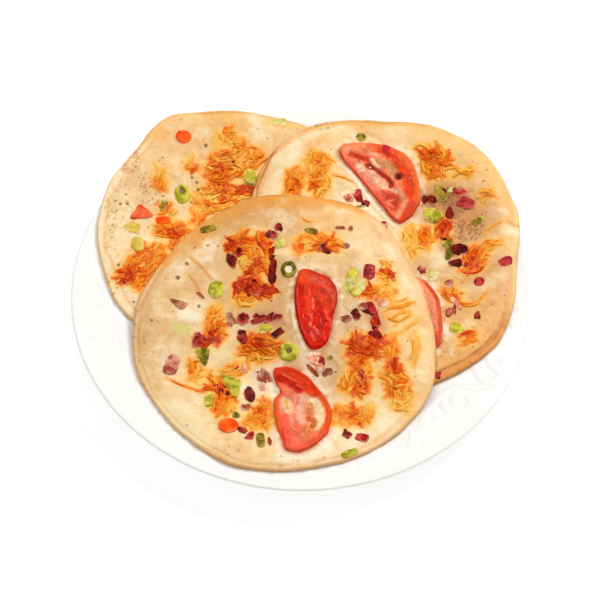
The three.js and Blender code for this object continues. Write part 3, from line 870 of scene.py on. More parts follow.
def add_chip(pancake, heap, x, y, reach, tone, skin_side, rng, rise, hole=0.0, lift=0.0):
    """One cut piece: flat-topped with worn edges, a little tilted, its skin's colour on one side."""
    flesh, skin = TONES[tone]
    size = reach.mean()
    sides = int(np.clip(TAU * size / CHIP_SIDE, 14, 64))
    turns = np.arange(sides) / sides * TAU
    tilt, lean = rng.uniform(*CHIP_TILTS), rng.uniform(0, TAU)
    profile = chip_profile(rise, hole)
    share, level = np.repeat(profile, sides, axis=0).T
    px, py = polar(share * np.tile(reach_at(reach, turns), len(profile)), np.tile(turns, len(profile)))
    py = py + lift * (1 - np.minimum(share, 1))
    rings = np.arange(len(share)).reshape(-1, sides)
    if hole:
        faces = [bands(rings), band(rings[-1], rings[0])]
    else:
        faces = [bands(rings), cap(rings.size, rings[0], False), cap(rings.size + 1, rings[-1], True)]
        px, py, share = [np.append(values, [0, 0]) for values in (px, py, share)]
        level = np.append(level, [-CHIP_SINK, rise * 1.1])
    slope = tilt * (px * math.cos(lean) + py * math.sin(lean))
    across = px * math.cos(math.radians(skin_side)) + py * math.sin(math.radians(skin_side))
    streak = np.sin(across * rng.uniform(2.4, 4.2) + rng.uniform(0, TAU))
    height = level + np.where(level > 0.2, slope + 0.05 * streak, 0)
    points = np.stack([x + px, y + py, sample(pancake.plain, x + px, y + py) + height], axis=1)
    blotch, film = [sample(field, x + px, y + py) for field in (pancake.blotch, pancake.veil)]
    patch = sample(pancake.drift, 2.2 * px - x, 2.2 * py - y)
    dark = ease(across / size * 0.6 + rng.uniform(0.35, 0.6) + 0.35 * patch)
    dark = dark * 0.9 + 0.14 * streak + 0.17 * blotch
    paint = mixed(np.full(points.shape, flesh, float), skin, np.clip(dark, 0, 1))
    rim_film = ease((share - 0.72) / 0.28) * (rise < RING_RISE)
    paint = mixed(paint, FILM, 0.05 * film + 0.6 * film * rim_film)
    points[:, :2] += pancake.middle
    heap.add(points, np.vstack(faces), paint * rng.uniform(0.94, 1.06))
    pancake.bury(x, y, reach, 0.6, lift * (1 - hole), size * hole)


def add_cut_nodes(pancake, cuts):
    """A finer piece for each cut vegetable of the solids, on that node's own outline. Each kind has
    the tone and the side of the skin of its pieces, in the order of their letters."""
    looks = [
        (kind, f"{kind}_{pancake.name}_{letter}", *look)
        for kind in sorted(cuts) for letter, look in zip(ascii_lowercase, cuts[kind])
    ]
    for number, (kind, node, tone, skin_side) in enumerate(looks):
        rng = pancake.random(20 + number)
        middle = middle_of(node)
        ragged = 0.14 if kind == "onion" else 0.04
        reach = softened(solid_reach(node, middle), 9 if node in ROUND else 3.5)
        reach = reach * (1 + ragged * softened(rng.standard_normal(DIRECTIONS), 4))
        x, y = middle - pancake.middle
        heap = Heap()
        heart, hole, lift = RINGS.get(node, (None, 0.0, 0.0))
        rise = RING_RISE if heart else CUT_RISE
        add_chip(pancake, heap, x, y, reach, tone, skin_side, rng, rise, hole, lift)
        if heart:
            pancake.lay(([(x, y + lift * (1 - hole))], reach.mean() * 1.1, heart, 0.9, 0.5, 1.2))
        heap.make(f"cut_{node}", kind, kind, node)


def add_bits(pancake, kind, bits):
    """Small bits that only the looks have: place, width, length, turn, tone, side of the skin."""
    heap, rng = Heap(), pancake.random(10 + len(kind))
    for x, y, width, length, turn, tone, skin_side in bits:
        width, length = BIT_SCALE * width, BIT_SCALE * length
        rise = min(0.34 + 0.05 * min(width, length), 0.65)
        reach = chip_outline(width, length, turn, rng)
        add_chip(pancake, heap, x, y, reach, tone, skin_side, rng, rise)
        crumbs = 1 if kind == "chilli" or tone == "pink" else int(max(width, length) / CRUMB_EVERY)
        for _ in range(crumbs if tone in CRUMB_TONES else 0):
            away, part = rng.uniform(0, TAU), rng.uniform(0.5, 0.8)
            spot = (x + CRUMB_AWAY * width * math.cos(away), y + CRUMB_AWAY * length * math.sin(away))
            reach = chip_outline(part * width, part * length, turn + rng.uniform(-50, 50), rng)
            shade = CRUMB_TONES[tone][rng.integers(len(CRUMB_TONES[tone]))]
            side = skin_side + rng.uniform(-60, 60)
            add_chip(pancake, heap, *spot, reach, shade, side, rng, 0.75 * rise)
    if bits:
        heap.make(f"bits_{kind}_{pancake.name}", kind, kind)


# ---- Slices of tomato ----
SLICE_RINGS = 46
SLICE_SINK = 1.6
SKIN_ROUND = 1.6
FLESH_DIP = 0.55
SKIN_EDGE = (170, 34, 14)
SEED_RINGS = 5
SEED_LENGTH = 1.55
SEED_HEIGHT = 0.42


def slice_face(rng, reach, skin, flesh, skin_width, rise, crown, strokes):
    """The upper face: places and heights from the middle of its foot, faces and colours."""
    shares, turns, faces = disc(SLICE_RINGS)
    edge = reach_at(reach, turns)
    px, py = polar(shares * edge, turns)
    inset = (1 - shares) * edge
    rounded = np.sqrt(np.clip(1 - (1 - np.clip(inset / SKIN_ROUND, 0, 1)) ** 2, 0, 1))
    height = 0.35 * rise + 0.65 * rise * rounded
    height -= FLESH_DIP * ease((inset - skin_width * 0.7) / 1.6)
    height += crown * ease(inset / (0.7 * reach.min()))
    lump = sample(grain(rng, 1.2), px, py)
    ripple = np.abs(sample(grain(rng, 0.9), px, py))
    inner = ease((inset - skin_width) / 1.5)
    fine = sample(grain(rng, 0.5), px, py)
    height += 0.14 * lump * (0.2 + 0.8 * inner) + (0.3 * ripple + 0.12 * fine) * inner
    paint = mixed(np.full((len(px), 3), skin, float), flesh, inner)
    paint = mixed(paint, SKIN_EDGE, 0.3 * (1 - ease(inset / 0.9)))
    for stroke in strokes:
        lay(stroke, px, py, height, paint)
    return px, py, height, faces, paint * (1 + 0.045 * (lump + ripple - 0.8)[:, None] * inner[:, None])


def add_slice(pancake, node, skin, flesh, skin_width, rise, crown, strokes, seeds):
    """One slice: a raised skin round dished flesh, drawn with strokes from the node's middle."""
    middle = middle_of(node)
    reach = softened(solid_reach(node, middle), 1.6)
    rng = pancake.random(40 + len(node))
    px, py, height, faces, paint = slice_face(rng, reach, skin, flesh, skin_width, rise, crown, strokes)
    x, y = middle - pancake.middle
    z = sample(pancake.plain, x + px, y + py) + height
    top = np.stack([x + px, y + py, z], axis=1)
    rim = last_ring(SLICE_RINGS)
    foot = top[rim].copy()
    foot[:, 2] = sample(pancake.plain, foot[:, 0], foot[:, 1]) - SLICE_SINK
    base = np.arange(len(top), len(top) + len(rim))
    points = np.vstack([top, foot, [[x, y, foot[:, 2].mean()]]])
    points[:, :2] += pancake.middle
    heap = Heap()
    faces = np.vstack([faces, band(base, rim), cap(base[-1] + 1, base, False)])
    heap.add(points, faces, np.vstack([paint, paint[rim] * 0.8, [flesh]]))
    heap.make(f"ripe_{node}", "tomato", "tomato", node)
    heap = Heap()
    for sx, sy, turn, shade in seeds:
        nearest = np.argmin(np.hypot(px - sx, py - sy))
        add_seed(heap, middle[0] + sx, middle[1] + sy, z[nearest], turn, shade)
    if seeds:
        heap.make(f"seeds_{node}", "seed", "tomato")
    pancake.bury(x, y, reach, 0.8)


def add_seed(heap, x, y, z, turn, shade):
    """A flat teardrop."""
    shares, turns, faces = disc(SEED_RINGS)
    stretch = SEED_LENGTH * (1 + 0.35 * np.cos(turns))
    px, py = shares * stretch * np.cos(turns), shares * np.sin(turns)
    dome = SEED_HEIGHT * np.sqrt(np.clip(1 - shares**2, 0, 1))
    qx, qy = turned(px, py, math.radians(turn))
    upper = np.stack([x + qx, y + qy, z + 0.12 + dome], axis=1)
    lower = np.stack([x + qx, y + qy, z + 0.11 - dome], axis=1)
    rim = last_ring(SEED_RINGS)
    faces = np.vstack([faces, faces[:, ::-1] + len(upper), band(rim + len(upper), rim)])
    heap.add(np.vstack([upper, lower]), faces, np.array(shade, float))


# ---- Colours of batter ----
CREAM = (255, 234, 192)
PALE = (253, 222, 172)
STRAW = (250, 209, 148)
GOLD = (247, 194, 122)
HONEY = (236, 180, 108)
SAND = (239, 201, 145)
TAN = (229, 185, 126)
BUFF = (218, 172, 116)
TOAST = (220, 160, 102)

# ---- What lies on the front pancake ----
# These lists are placed one by one. The functions that take them say what an entry holds.
FRONT_WASHES = [
    (-72, 6, 20, TAN), (-62, 40, 20, SAND), (-34, 70, 18, TAN), (-10, 84, 14, TOAST), (26, 84, 16, GOLD),
    (56, 62, 16, PALE), (30, 40, 16, SAND), (70, 36, 14, CREAM), (82, 0, 14, STRAW), (80, -40, 16, PALE),
    (50, -70, 16, CREAM), (20, -88, 14, PALE), (-20, -86, 14, STRAW), (-52, -66, 16, PALE),
    (-78, -36, 16, SAND), (-50, -40, 14, CREAM), (-56, 8, 12, PALE), (0, 10, 16, BUFF), (38, 6, 14, BUFF),
    (0, 62, 12, TAN), (30, -24, 12, BUFF), (-30, -20, 14, PALE), (4, 45, 10, BUFF),
]
FRONT_BANDS = [
    (60, 152, 2.8, 6.5, (241, 158, 58), 0.72, 0.1), (60, 150, 1.9, 0.7, (200, 126, 60), 0.5, 0),
    (78, 138, 9.5, 9, (230, 152, 56), 0.6, 0), (150, 300, 3.4, 0.9, (198, 140, 82), 0.55, -0.16),
    (150, 300, 1.6, 2.2, (236, 192, 134), 0.6, 0.1), (0, 360, 0.2, 1.4, (222, 160, 92), 0.6, 0),
    (-60, 50, 2.5, 5, (246, 186, 118), 0.5, 0), (-110, -30, 4, 2.5, (240, 190, 126), 0.4, 0),
]
FRONT_PORES = [
    (-63, 34, 3), (-58, 44, 2.5), (-50, 14, 2.2), (-77, 4, 2.2), (-8, 15, 2), (-40, 9, 2), (-46, 57, 1.6),
    (-40, 56, 1.6), (-54, 56, 1.6), (-49, 62, 1.2), (29, -29, 1.6), (70, -11, 1.3), (-64, 50, 1.1),
    (-70, 33, 1), (-65, 10, 1.1), (-54, -65, 1.2), (-30, -79, 1.1), (-25, -82, 1.1), (27, 4, 1.2),
    (63, 44, 1.4), (56, 47, 1.2), (36, -3, 1.2), (12, 44, 1.2), (74, -34, 1.1),
]
FRONT_HEAPS = [
    (-26, 55, 7, 6, 150, 20, 0.5), (-26, 53, 4, 4, 20, 9, 0.8), (-14, 52, 4, 6, 100, 12, 0.6),
    (-17, 40, 6, 7, 110, 17, 0.6), (-22, 26, 7, 5, 100, 9, 0.7), (-14, 21, 7, 3, 10, 6, 0.8),
    (-23, 17, 4, 3, 10, 4, 0.45), (-41, 8, 3, 5, 60, 7, 0.1), (-40, 0, 4, 5, 80, 9, 0.25),
    (-44, -8, 5, 2, 10, 4, 0.7), (-51, -27, 2, 6, 80, 7, 0.3), (20, 55, 11, 3, -8, 19, 0.3),
    (9, 52, 2, 4, 80, 5, 0.35), (24, 52, 4, 3, -8, 5, 0.7), (54, 22, 7, 3, 8, 13, 0.4),
    (60, 34, 2, 7, 85, 8, 0.25), (52, -14, 11, 4, -14, 24, 0.6), (41, -14, 3, 7, 80, 12, 0.7),
    (43, -30, 3, 11, 85, 18, 0.7), (36, -36, 3, 4, 80, 7, 0.35), (62, -36, 3, 9, -65, 16, 0.65),
    (66, -46, 2.5, 7, -55, 11, 0.25), (35, -57, 7, 5, -10, 20, 0.45), (45, -56, 4, 4, 60, 7, 0.25),
    (-38, -36, 4, 5, -40, 9, 0.8), (-33, -43, 3, 6, 80, 8, 0.6), (-34, -49, 5, 6, -60, 12, 0.35),
    (-28, -26, 4, 3, 20, 5, 0.35), (-14, -13, 9, 5, -20, 25, 0.65), (-12, -12, 6, 3, -20, 8, 0.8),
    (-13, -53, 4, 6, 70, 10, 0.35), (-14, -61, 5, 4, 10, 10, 0.2), (-22, 44, 3.5, 4.5, 110, 6, 0.4),
]
FRONT_THREADS = [
    (0.5, [(-28, 58), (-20, 60), (-13, 54), (-11, 44), (-16, 36), (-24, 35)]),
    (0.3, [(-33, 58), (-29, 62), (-26, 68)]), (0.35, [(-24, 54), (-16, 52), (-13, 44), (-17, 38)]),
    (0.15, [(10, 73), (13, 70), (18, 70)]), (0.3, [(61, 4), (66, 8), (72, 9)]),
    (0.3, [(61, 12), (68, 13), (75, 16)]), (0.3, [(66, -6), (72, -1), (78, 4)]),
    (0.4, [(57, 9), (62, 12), (68, 11)]), (0.3, [(63, 0), (68, 4), (74, 7)]),
    (0.2, [(62, 15), (68, 17), (72, 19)]), (0.15, [(75, -5), (77, -15), (73, -28)]),
    (0.2, [(72, -8), (74, -16), (71, -25)]), (0.3, [(58, 6), (64, 3), (69, 4)]),
    (0.15, [(-67, -33), (-57, -38), (-44, -42)]), (0.8, [(38, -49), (39, -57), (43, -65)]),
    (0.3, [(68, -50), (71, -54), (69, -60)]), (0.35, [(60, 38), (62, 35), (62, 31)]),
]
FRONT_CUTS = {
    "carrot": [("orange", 20)],
    "chilli": [
        ("leaf", 130), ("lime", 250), ("lime", 200), ("olive", 180), ("leaf", -60), ("lime", 200),
        ("lime", 0), ("olive", 90), ("lime", 270), ("lime", 120), ("rind", 200), ("olive", 0),
    ],
    "onion": [
        ("maroon", 20), ("mauve", 230), ("dusk", 160), ("magenta", 100), ("maroon", 0), ("magenta", 40),
        ("plum", 45), ("plum", 200),
    ],
}
FRONT_ONIONS = [
    (-11.5, -31.5, 6.5, 10, 8, "mauve", 0), (-22, -51, 5, 5, 0, "mauve", 30),
    (-23, -68, 4.5, 4.5, 15, "plum", 200), (-19.5, -72, 5, 5, 15, "plum", 0),
    (35, -70, 4.5, 6, 10, "plum", 90), (-4, 66, 4, 5, -20, "plum", 30),
    (-31.5, 44, 6, 12, 26, "maroon", 180), (-27, 48, 6, 8, 10, "plum", 60),
    (-13, 21.5, 12, 5, 4, "brick", 90), (-20.5, 24, 7, 9, 25, "brick", 0), (-8.5, 48, 5, 7, 0, "brick", 0),
    (-36, -38, 6, 8, -30, "brick", 0), (-32.5, -43, 4, 6, -20, "maroon", 0),
    (-7.5, 30, 5, 6, 0, "maroon", 0), (-49.5, 22, 2.2, 8, 45, "brown", 0), (-31, 5, 4, 8, 42, "dusk", 0),
    (-13.5, 3, 11, 6, 5, "plum", 90), (-5, 4, 8, 3.5, 10, "plum", 90), (-24, -7, 6, 6, 0, "plum", 0),
    (-4, -6, 7, 6, 20, "maroon", 200), (-50, -9, 6, 7, 0, "plum", 60), (-43, -8.5, 7, 3.5, 0, "brown", 90),
    (24.5, 50, 8, 6, -20, "maroon", 120), (36, 52.5, 4, 4, 0, "dusk", 0), (33, 65.5, 5, 3.5, 0, "dusk", 90),
    (39, 65, 2.5, 4, 0, "dusk", 90), (57, 15, 7, 6, 10, "pink", 200), (45.5, 12, 5, 4.5, 0, "mauve", 90),
    (49.5, 11.5, 5.5, 9, 32, "magenta", 200), (53, 4, 5, 9, 15, "brick", 0),
    (52, -5, 4.5, 7.5, 5, "magenta", 0), (36, 4, 6, 4.5, 10, "dusk", 120), (41.5, 6, 4.5, 6, 0, "plum", 90),
    (43, -33, 4.5, 7.5, 10, "magenta", 20), (24.5, -28.5, 5, 4, 0, "dusk", 90),
    (-23, -25, 6, 6, 0, "pink", 220), (-8, -75, 2, 12, 2, "brown", 0), (16.5, -20.5, 8, 9, 40, "pink", 250),
    (20, -26, 5, 5, 0, "pink", 90), (15.5, -27, 2.4, 10, 42, "brown", 0),
]
FRONT_GREENS = [
    (-3, 54, 6, 7, 0, "fresh", 200), (26, -20, 3, 2, 10, "olive", 0), (-11, -2, 8, 4.5, -5, "lime", 270),
    (40, 30, 5, 7, 20, "fresh", 0), (44, 25, 5, 6, 0, "pale", 0), (36, 24, 4, 6, 0, "fresh", 0),
    (-27, -57, 4, 4, 0, "olive", 0),
]
FRONT_MARKS = [
    ([(-58, 8), (-51, 7)], 7, (255, 246, 222), 0.75, 0.3, 6),
    ([(-62, 0), (-58, -1)], 7, (214, 212, 116), 0.75, 0.2, 5),
    ([(-56, 49), (-49, 42), (-43, 33)], 1.8, (222, 148, 66), 0.7, 0.3, 1.6),
    ([(-56, 36), (-52, 30), (-49, 23)], 1.8, (222, 144, 62), 0.75, 0.3, 1.6),
    ([(5, 14), (4.4, 7), (5.6, -1), (8.6, -9), (11.8, -16)], 2.2, (254, 226, 186), 0.85, 0.9, 1.5),
    ([(-3.5, -39), (-1.5, -37.5)], 3.6, (252, 222, 192), 0.9, 1.2, 1.6),
    ([(-4.5, -66), (-3.4, -80)], 3, (250, 216, 180), 0.8, 0.4, 2),
    ([(27, -66), (22, -77)], 7, (254, 242, 220), 0.8, 0.2, 6),
    ([(31, 16), (33, 4), (30, -10)], 4, (248, 214, 170), 0.5, 0.35, 3.5),
    ([(-11, -24), (-10, -40), (-7, -60), (-4, -80)], 4, (250, 222, 186), 0.6, 0.5, 3.5),
    ([(30, -46), (33, -58), (28, -72)], 5, (250, 226, 188), 0.6, 0.4, 4),
    ([(-2, -86), (12, -86), (24, -78)], 6, (254, 240, 212), 0.75, 0.35, 4),
    ([(14, 36.5), (22, 33), (30, 27)], 2.4, (196, 126, 64), 0.7, 0.15, 1.6),
    ([(50, 14), (54, 2), (51, -8)], 8, (214, 120, 96), 0.5, 0, 7),
    ([(34, 8), (42, 0)], 8, (226, 196, 168), 0.4, 0.1, 6),
    ([(12, -20), (24, -28)], 9, (236, 212, 188), 0.6, 0.2, 6),
    ([(-16, -22), (-12, -36)], 9, (234, 206, 186), 0.6, 0.1, 6),
    ([(44, 40), (52, 34)], 8, (240, 208, 182), 0.5, 0.1, 6),
    ([(56, 18), (62, 12)], 8, (240, 206, 182), 0.5, 0.1, 6),
    ([(-70, -20), (-62, -24)], 7, (236, 208, 184), 0.5, 0.1, 6),
    ([(-14, 4), (-4, 3)], 8, (190, 96, 70), 0.5, 0, 7),
    ([(-12, 46), (-2, 48), (10, 46)], 5, (254, 232, 190), 0.6, 0.35, 4),
    ([(-70, -52), (-48, -76)], 14, (252, 234, 184), 0.5, 0, 14),
    ([(58, 6), (70, 16)], 2.6, (232, 160, 74), 0.55, 0.1, 2.2),
    ([(66, -6), (78, 5)], 3, (234, 166, 80), 0.55, 0.1, 2.4),
    ([(73, -28), (77, -14), (74, -4)], 2, (226, 152, 66), 0.55, 0.1, 1.8),
]
FRONT_SPECKS = [
    (-60, 20, 60, 110, 60, (196, 146, 92)), (-20, 70, 60, 24, 26, (186, 130, 76)),
    (60, 20, 50, 70, 34, (206, 150, 90)), (-84, -20, 8, 70, 26, (150, 96, 48)),
    (0, -88, 90, 12, 22, (176, 116, 60)),
]
SLICE_MARKS = [
    ([(-9.5, 6), (-7.5, -6)], 9, (250, 160, 130), 0.85, 0, 6),
    ([(0, 10), (-1, -2), (0, -8)], 5, (250, 184, 156), 0.85, 0.1, 4),
    ([(-15, 8), (-14.5, -2), (-12.5, -10), (-10.5, -20)], 3, (236, 92, 30), 0.9, 0.1, 2),
    ([(-9.5, -4), (-8.5, -13), (-8, -23)], 5, (250, 86, 66), 0.9, 0.35, 3),
    ([(-11, -13), (-9, -24)], 1.4, (214, 44, 18), 0.7, -0.1, 1.2),
    ([(-3, -12), (0, -20), (-4, -25)], 8, (242, 106, 76), 0.85, 0, 5),
    ([(2, -12), (5, -16), (2, -20)], 6, (232, 124, 66), 0.8, -0.2, 4),
    ([(6.5, 9), (10.5, 4), (11, -3), (8, -9)], 8, (252, 218, 172), 0.95, 0.1, 4),
    ([(4.5, 4), (4.5, -1)], 3.4, (220, 150, 74), 0.85, -0.5, 2),
    ([(4, -4.5), (7, -7), (6, -11)], 3.4, (204, 92, 24), 0.85, -0.45, 2),
    ([(-8.5, 6.5), (-7.5, 1)], 5, (248, 206, 158), 0.85, 0.1, 3),
    ([(-9, 6.5), (-8, 3)], 2.4, (226, 160, 66), 0.8, -0.3, 1.6),
    ([(-2, 9.5), (-3, 5)], 2, (200, 110, 96), 0.6, -0.2, 1.6),
    ([(-3, -8), (-5, -3)], 1.4, (214, 110, 84), 0.6, -0.3, 1.2),
    ([(7.5, 14), (11.5, 9), (14.5, 2.5), (15.5, -3), (14.5, -9), (12, -15)], 4.2, (234, 84, 26),
        0.95, 0.4, 2),
    ([(12, -15), (8, -20), (3, -24), (-4, -27)], 4, (236, 92, 60), 0.85, 0.3, 2.4),
    ([(-15.5, 26), (-7, 24), (2, 19), (7.5, 14)], 9.5, (226, 56, 10), 0.95, 0.5, 2.4),
    ([(-13, 22), (-6, 18), (-1, 14.5)], 4.6, (188, 16, 0), 0.85, -0.3, 2.4),
    # Two painted highlights on the wet skin.
    ([(-11, 24), (-7, 22), (-3, 19.5)], 0.9, (255, 124, 100), 0.8, 0.3, 0.9),
    ([(-3, 17.5), (1, 15)], 0.8, (255, 124, 96), 0.8, 0.3, 0.8),
    ([(-8, -24), (2, -25.5)], 3, (250, 100, 80), 0.7, 0.4, 2),
]
SLICE_SEEDS = [
    (4.5, 3, 80, (222, 154, 70)), (4.5, -1, 110, (214, 132, 56)), (6.5, -6.5, 50, (214, 116, 40)),
    (5.5, -10, 70, (206, 100, 34)), (-9, 6, 100, (236, 178, 92)), (-7.5, 3, 60, (244, 200, 130)),
    (2.5, -13, 60, (232, 140, 70)), (0, -17, 20, (240, 150, 90)), (-4, -13, 140, (236, 140, 90)),
    (3.5, -17, 40, (230, 130, 66)),
]
WEDGE_MARKS = [
    ([(-8, 23), (-9.5, 12), (-9.5, 0), (-6, -14), (-2, -23)], 6.5, (216, 28, 2), 0.95, 0.4, 3),
    ([(-6, 23), (-8, 17)], 5, (230, 92, 26), 0.8, 0.1, 4),
    ([(-12, 14), (-12.3, 2), (-10, -12), (-5, -23)], 1.8, (170, 8, 0), 0.75, 0, 1.6),
    ([(-5, 19), (-4.5, 8), (-4, -4)], 4, (236, 66, 24), 0.85, 0.2, 3),
    ([(-2, 19), (4, 16), (9, 9), (10.5, 1)], 6, (220, 88, 60), 0.75, 0, 4),
    ([(-2, 16), (2, 14)], 4, (232, 96, 66), 0.6, 0.1, 3),
    ([(-4, 25), (4, 22), (9.5, 17.5), (12, 10), (12, 1), (10.5, -4)], 1.6, (166, 52, 24), 0.8, 0, 1.3),
    ([(0, 13), (5, 9), (8, 3)], 2.4, (212, 52, 20), 0.85, -0.5, 1.6),
    ([(0, 8), (4, 4), (6, -2)], 4.4, (236, 68, 30), 0.85, 0.3, 3),
    ([(2, -4), (3, -14), (4, -22)], 6, (208, 26, 4), 0.85, 0.1, 4),
    # From here to the end, painted highlights on wet lumps of flesh, each on a small raised bump, all but
    # the one dark spot.
    ([(-2, 5), (-1.5, -2)], 1.3, (250, 116, 94), 0.85, 0.4, 1.1),
    ([(-3.5, -6), (-2.5, -8)], 1.3, (250, 112, 90), 0.85, 0.35, 1.1),
    ([(-3.2, -10.5), (-3.5, -12)], 1.5, (255, 146, 112), 0.85, 0.35, 1.1),
    ([(-1, -13), (1, -17)], 1.6, (252, 106, 92), 0.85, 0.4, 1.2),
    ([(-3, -17), (-1, -21)], 1.8, (246, 92, 80), 0.85, 0.35, 1.3),
    ([(5, -3), (6.5, -7)], 1.8, (248, 100, 76), 0.8, 0.45, 1.3),
    ([(8, -8), (8.5, -12)], 2, (244, 96, 76), 0.8, 0.45, 1.4),
    ([(8.2, -15), (7.5, -19)], 1.8, (236, 84, 64), 0.75, 0.4, 1.4),
    ([(5.5, -9)], 1.6, (166, 14, 0), 0.75, -0.4, 1.2),
    ([(4, -16), (5, -20)], 1.4, (236, 70, 50), 0.7, 0.3, 1.2),
]
FRONT_SLICES = [
    ("tomato_front_slice", (226, 62, 18), (242, 124, 88), 2.5, 2.3, 0, SLICE_MARKS, SLICE_SEEDS),
    ("tomato_front_wedge", (214, 22, 0), (214, 28, 0), 2, 2.2, 0.65, WEDGE_MARKS, []),
]

# ---- What lies on the left pancake ----
LEFT_WASHES = [
    (-66, 30, 18, PALE), (-72, -10, 18, PALE), (-50, -50, 18, PALE), (-40, 60, 18, STRAW),
    (-20, 78, 14, GOLD), (20, 78, 14, GOLD), (30, 60, 14, PALE), (-20, 40, 16, TAN), (-30, 0, 16, CREAM),
    (-10, 50, 14, HONEY), (6, 40, 12, GOLD), (-64, 4, 10, CREAM), (-50, 28, 9, TAN), (-30, 10, 10, PALE),
    (-56, -20, 10, STRAW),
]
LEFT_BANDS = [
    (40, 150, 3, 7, (250, 200, 126), 0.6, 0.1), (130, 290, 2.4, 4.4, (252, 228, 184), 0.7, 0.2),
    (130, 290, 5.6, 1, (236, 164, 88), 0.55, -0.12), (0, 360, 0.2, 1.4, (236, 186, 118), 0.5, 0),
    (60, 140, 0.8, 1.6, (226, 160, 84), 0.5, 0), (90, 108, 1.9, 0.9, (190, 136, 50), 0.75, 0),
]
LEFT_PORES = [
    (-20, 59, 2.6), (-28, 37, 2.1), (-25, 34, 2.1), (-24, 29, 2.6), (-66, 14, 2.1), (-70, 13, 2.1),
    (-73, 15, 1.6), (-67, 20, 1.6), (-45, 22, 1.6), (-28, 20, 1.6), (-53, 0, 1.2), (-69, -29, 2.1),
    (-65, -41, 2.1), (-70, -39, 1.2), (-69, -44, 1.2), (-59, -47, 1.2), (-59, -53, 1.6), (-75, 8, 1.1),
    (-72, 8, 1.1), (-74, -2, 1.3), (-2, 63, 1.8), (-56, 36, 1.3), (-46, 48, 1.3), (-62, 44, 1.2),
    (18, 66, 1.2), (-36, 76, 1.2), (12, 72, 1.1),
]
LEFT_HEAPS = [
    (-8, 45, 9, 7, 20, 24, 0.45), (-7, 28, 13, 4, 10, 22, 0.5), (5, 31, 4, 3, 20, 6, 0.8),
    (-8, 53, 4, 3, 0, 5, 0.7), (-18, 20, 6, 4, -20, 8, 0.4), (-12, 16, 4, 3, 0, 5, 0.4),
    (-28, 46, 2.5, 3.5, 70, 4, 0.6), (10, 51, 5, 4, 20, 8, 0.5), (-8, 66, 5, 5, 60, 5, 0.08),
    (0, 60, 3, 4, 40, 4, 0.25), (-42, 13, 4, 3, 30, 3, 0), (-38, -1, 8, 5, -25, 12, 0.5),
    (-50, -22, 8, 8, 60, 24, 0.55), (-49, -26, 4, 4, 40, 8, 0.8), (-58, -33, 8, 9, 40, 20, 0.35),
    (-35, -9, 4, 4, 60, 5, 0.4), (-23, 10, 2.5, 5, 80, 5, 0.12), (-30, -16, 6, 8, 60, 8, 0.45),
    (-46, 33, 3, 6, 70, 5, 0.2),
]
LEFT_THREADS = [(0.35, [(-20, 38), (-12, 36), (-4, 38)]), (0.3, [(2, 56), (8, 60), (14, 58)])]
LEFT_CUTS = {
    "carrot": [("orange", 60), ("coral", 180), ("orange", 200)],
    "chilli": [("lime", 200), ("rind", 250)],
}
LEFT_ONIONS = [(-9, 53, 3, 8, 10, "brown", 0), (-3, 49, 3, 6, 30, "brown", 0)]
LEFT_GREENS = [
    (-62, -2, 10, 7, -20, "mustard", 60), (-58, -13, 7, 11, 6, "mustard", 180),
    (-45, 16, 4, 7, 0, "olive", 0), (25, 79, 7, 4, 20, "fresh", 90), (7, 35, 6, 3.5, 0, "olive", 0),
]
LEFT_MARKS = [
    ([(-64, 51), (-63, 48)], 3.5, (222, 146, 84), 0.5, 0, 3),
    ([(-68, 42), (-69, 39)], 3.5, (222, 146, 84), 0.5, 0, 3),
    ([(-66, 71), (-67, 68)], 4, (214, 140, 76), 0.5, 0, 3),
    ([(-72, 62), (-76, 56)], 6, (214, 152, 88), 0.5, 0, 5),
    ([(-16, 79), (-6, 81)], 5, (240, 184, 92), 0.6, 0, 4),
    ([(22, 80), (32, 77)], 5, (214, 196, 96), 0.4, 0, 4),
    ([(-45, 62), (-50, 66)], 6, (244, 178, 96), 0.5, 0, 5), ([(-50, 66)], 12, (250, 186, 112), 0.5, 0, 10),
    ([(10, 80)], 9, (255, 240, 214), 0.6, 0, 7), ([(-60, -6), (-54, -10)], 6, (255, 240, 206), 0.6, 0.2, 5),
    ([(-26, 12), (-20, 4)], 8, (255, 238, 204), 0.6, 0.2, 6),
]
LEFT_SPECKS = [
    (-53, 24, 14, 22, 60, (166, 88, 50)), (-46, 40, 8, 14, 16, (186, 104, 50)),
    (-62, 5, 36, 120, 120, (190, 130, 76)), (-66, 46, 16, 22, 70, (184, 88, 44)),
    (-74, -10, 6, 90, 30, (176, 116, 66)), (-30, 70, 70, 20, 24, (206, 148, 82)),
    (20, 66, 40, 30, 20, (206, 148, 82)),
]

# ---- What lies on the right pancake ----
RIGHT_WASHES = [
    (-40, 76, 14, CREAM), (-10, 90, 12, GOLD), (20, 86, 14, PALE), (48, 70, 14, STRAW), (70, 42, 14, STRAW),
    (-56, 40, 12, PALE), (-30, 40, 12, CREAM), (-14, 20, 12, CREAM), (0, 10, 12, PALE), (24, 74, 10, STRAW),
    (48, 22, 12, TOAST), (60, 30, 10, TOAST), (76, 0, 12, PALE), (66, -22, 12, TOAST), (60, -50, 12, GOLD),
    (44, -40, 10, HONEY), (34, -72, 10, HONEY), (30, -10, 10, TAN), (-26, 66, 10, GOLD),
    (68, -24, 10, HONEY),
]
RIGHT_BANDS = [
    (70, 150, 2.4, 5, (246, 176, 90), 0.7, 0.1), (0, 80, 5, 12, (248, 190, 108), 0.65, 0.05),
    (130, 188, 2.2, 1.3, (172, 92, 34), 0.8, -0.1), (24, 124, 1.9, 0.7, (180, 122, 54), 0.6, 0),
    (-80, -36, 1.5, 4.5, (232, 148, 66), 0.85, 0.1), (-78, -34, 5, 1.6, (176, 96, 30), 0.8, 0.1),
    (-72, -32, 7.5, 3, (236, 172, 100), 0.5, 0), (-52, -34, 3.2, 1.2, (170, 90, 30), 0.6, 0),
    (-38, 20, 2.5, 4.5, (246, 188, 112), 0.6, 0), (-30, 70, 0.8, 3.2, (253, 226, 164), 0.65, 0),
    (0, 360, 0.2, 1.3, (228, 160, 86), 0.5, 0),
]
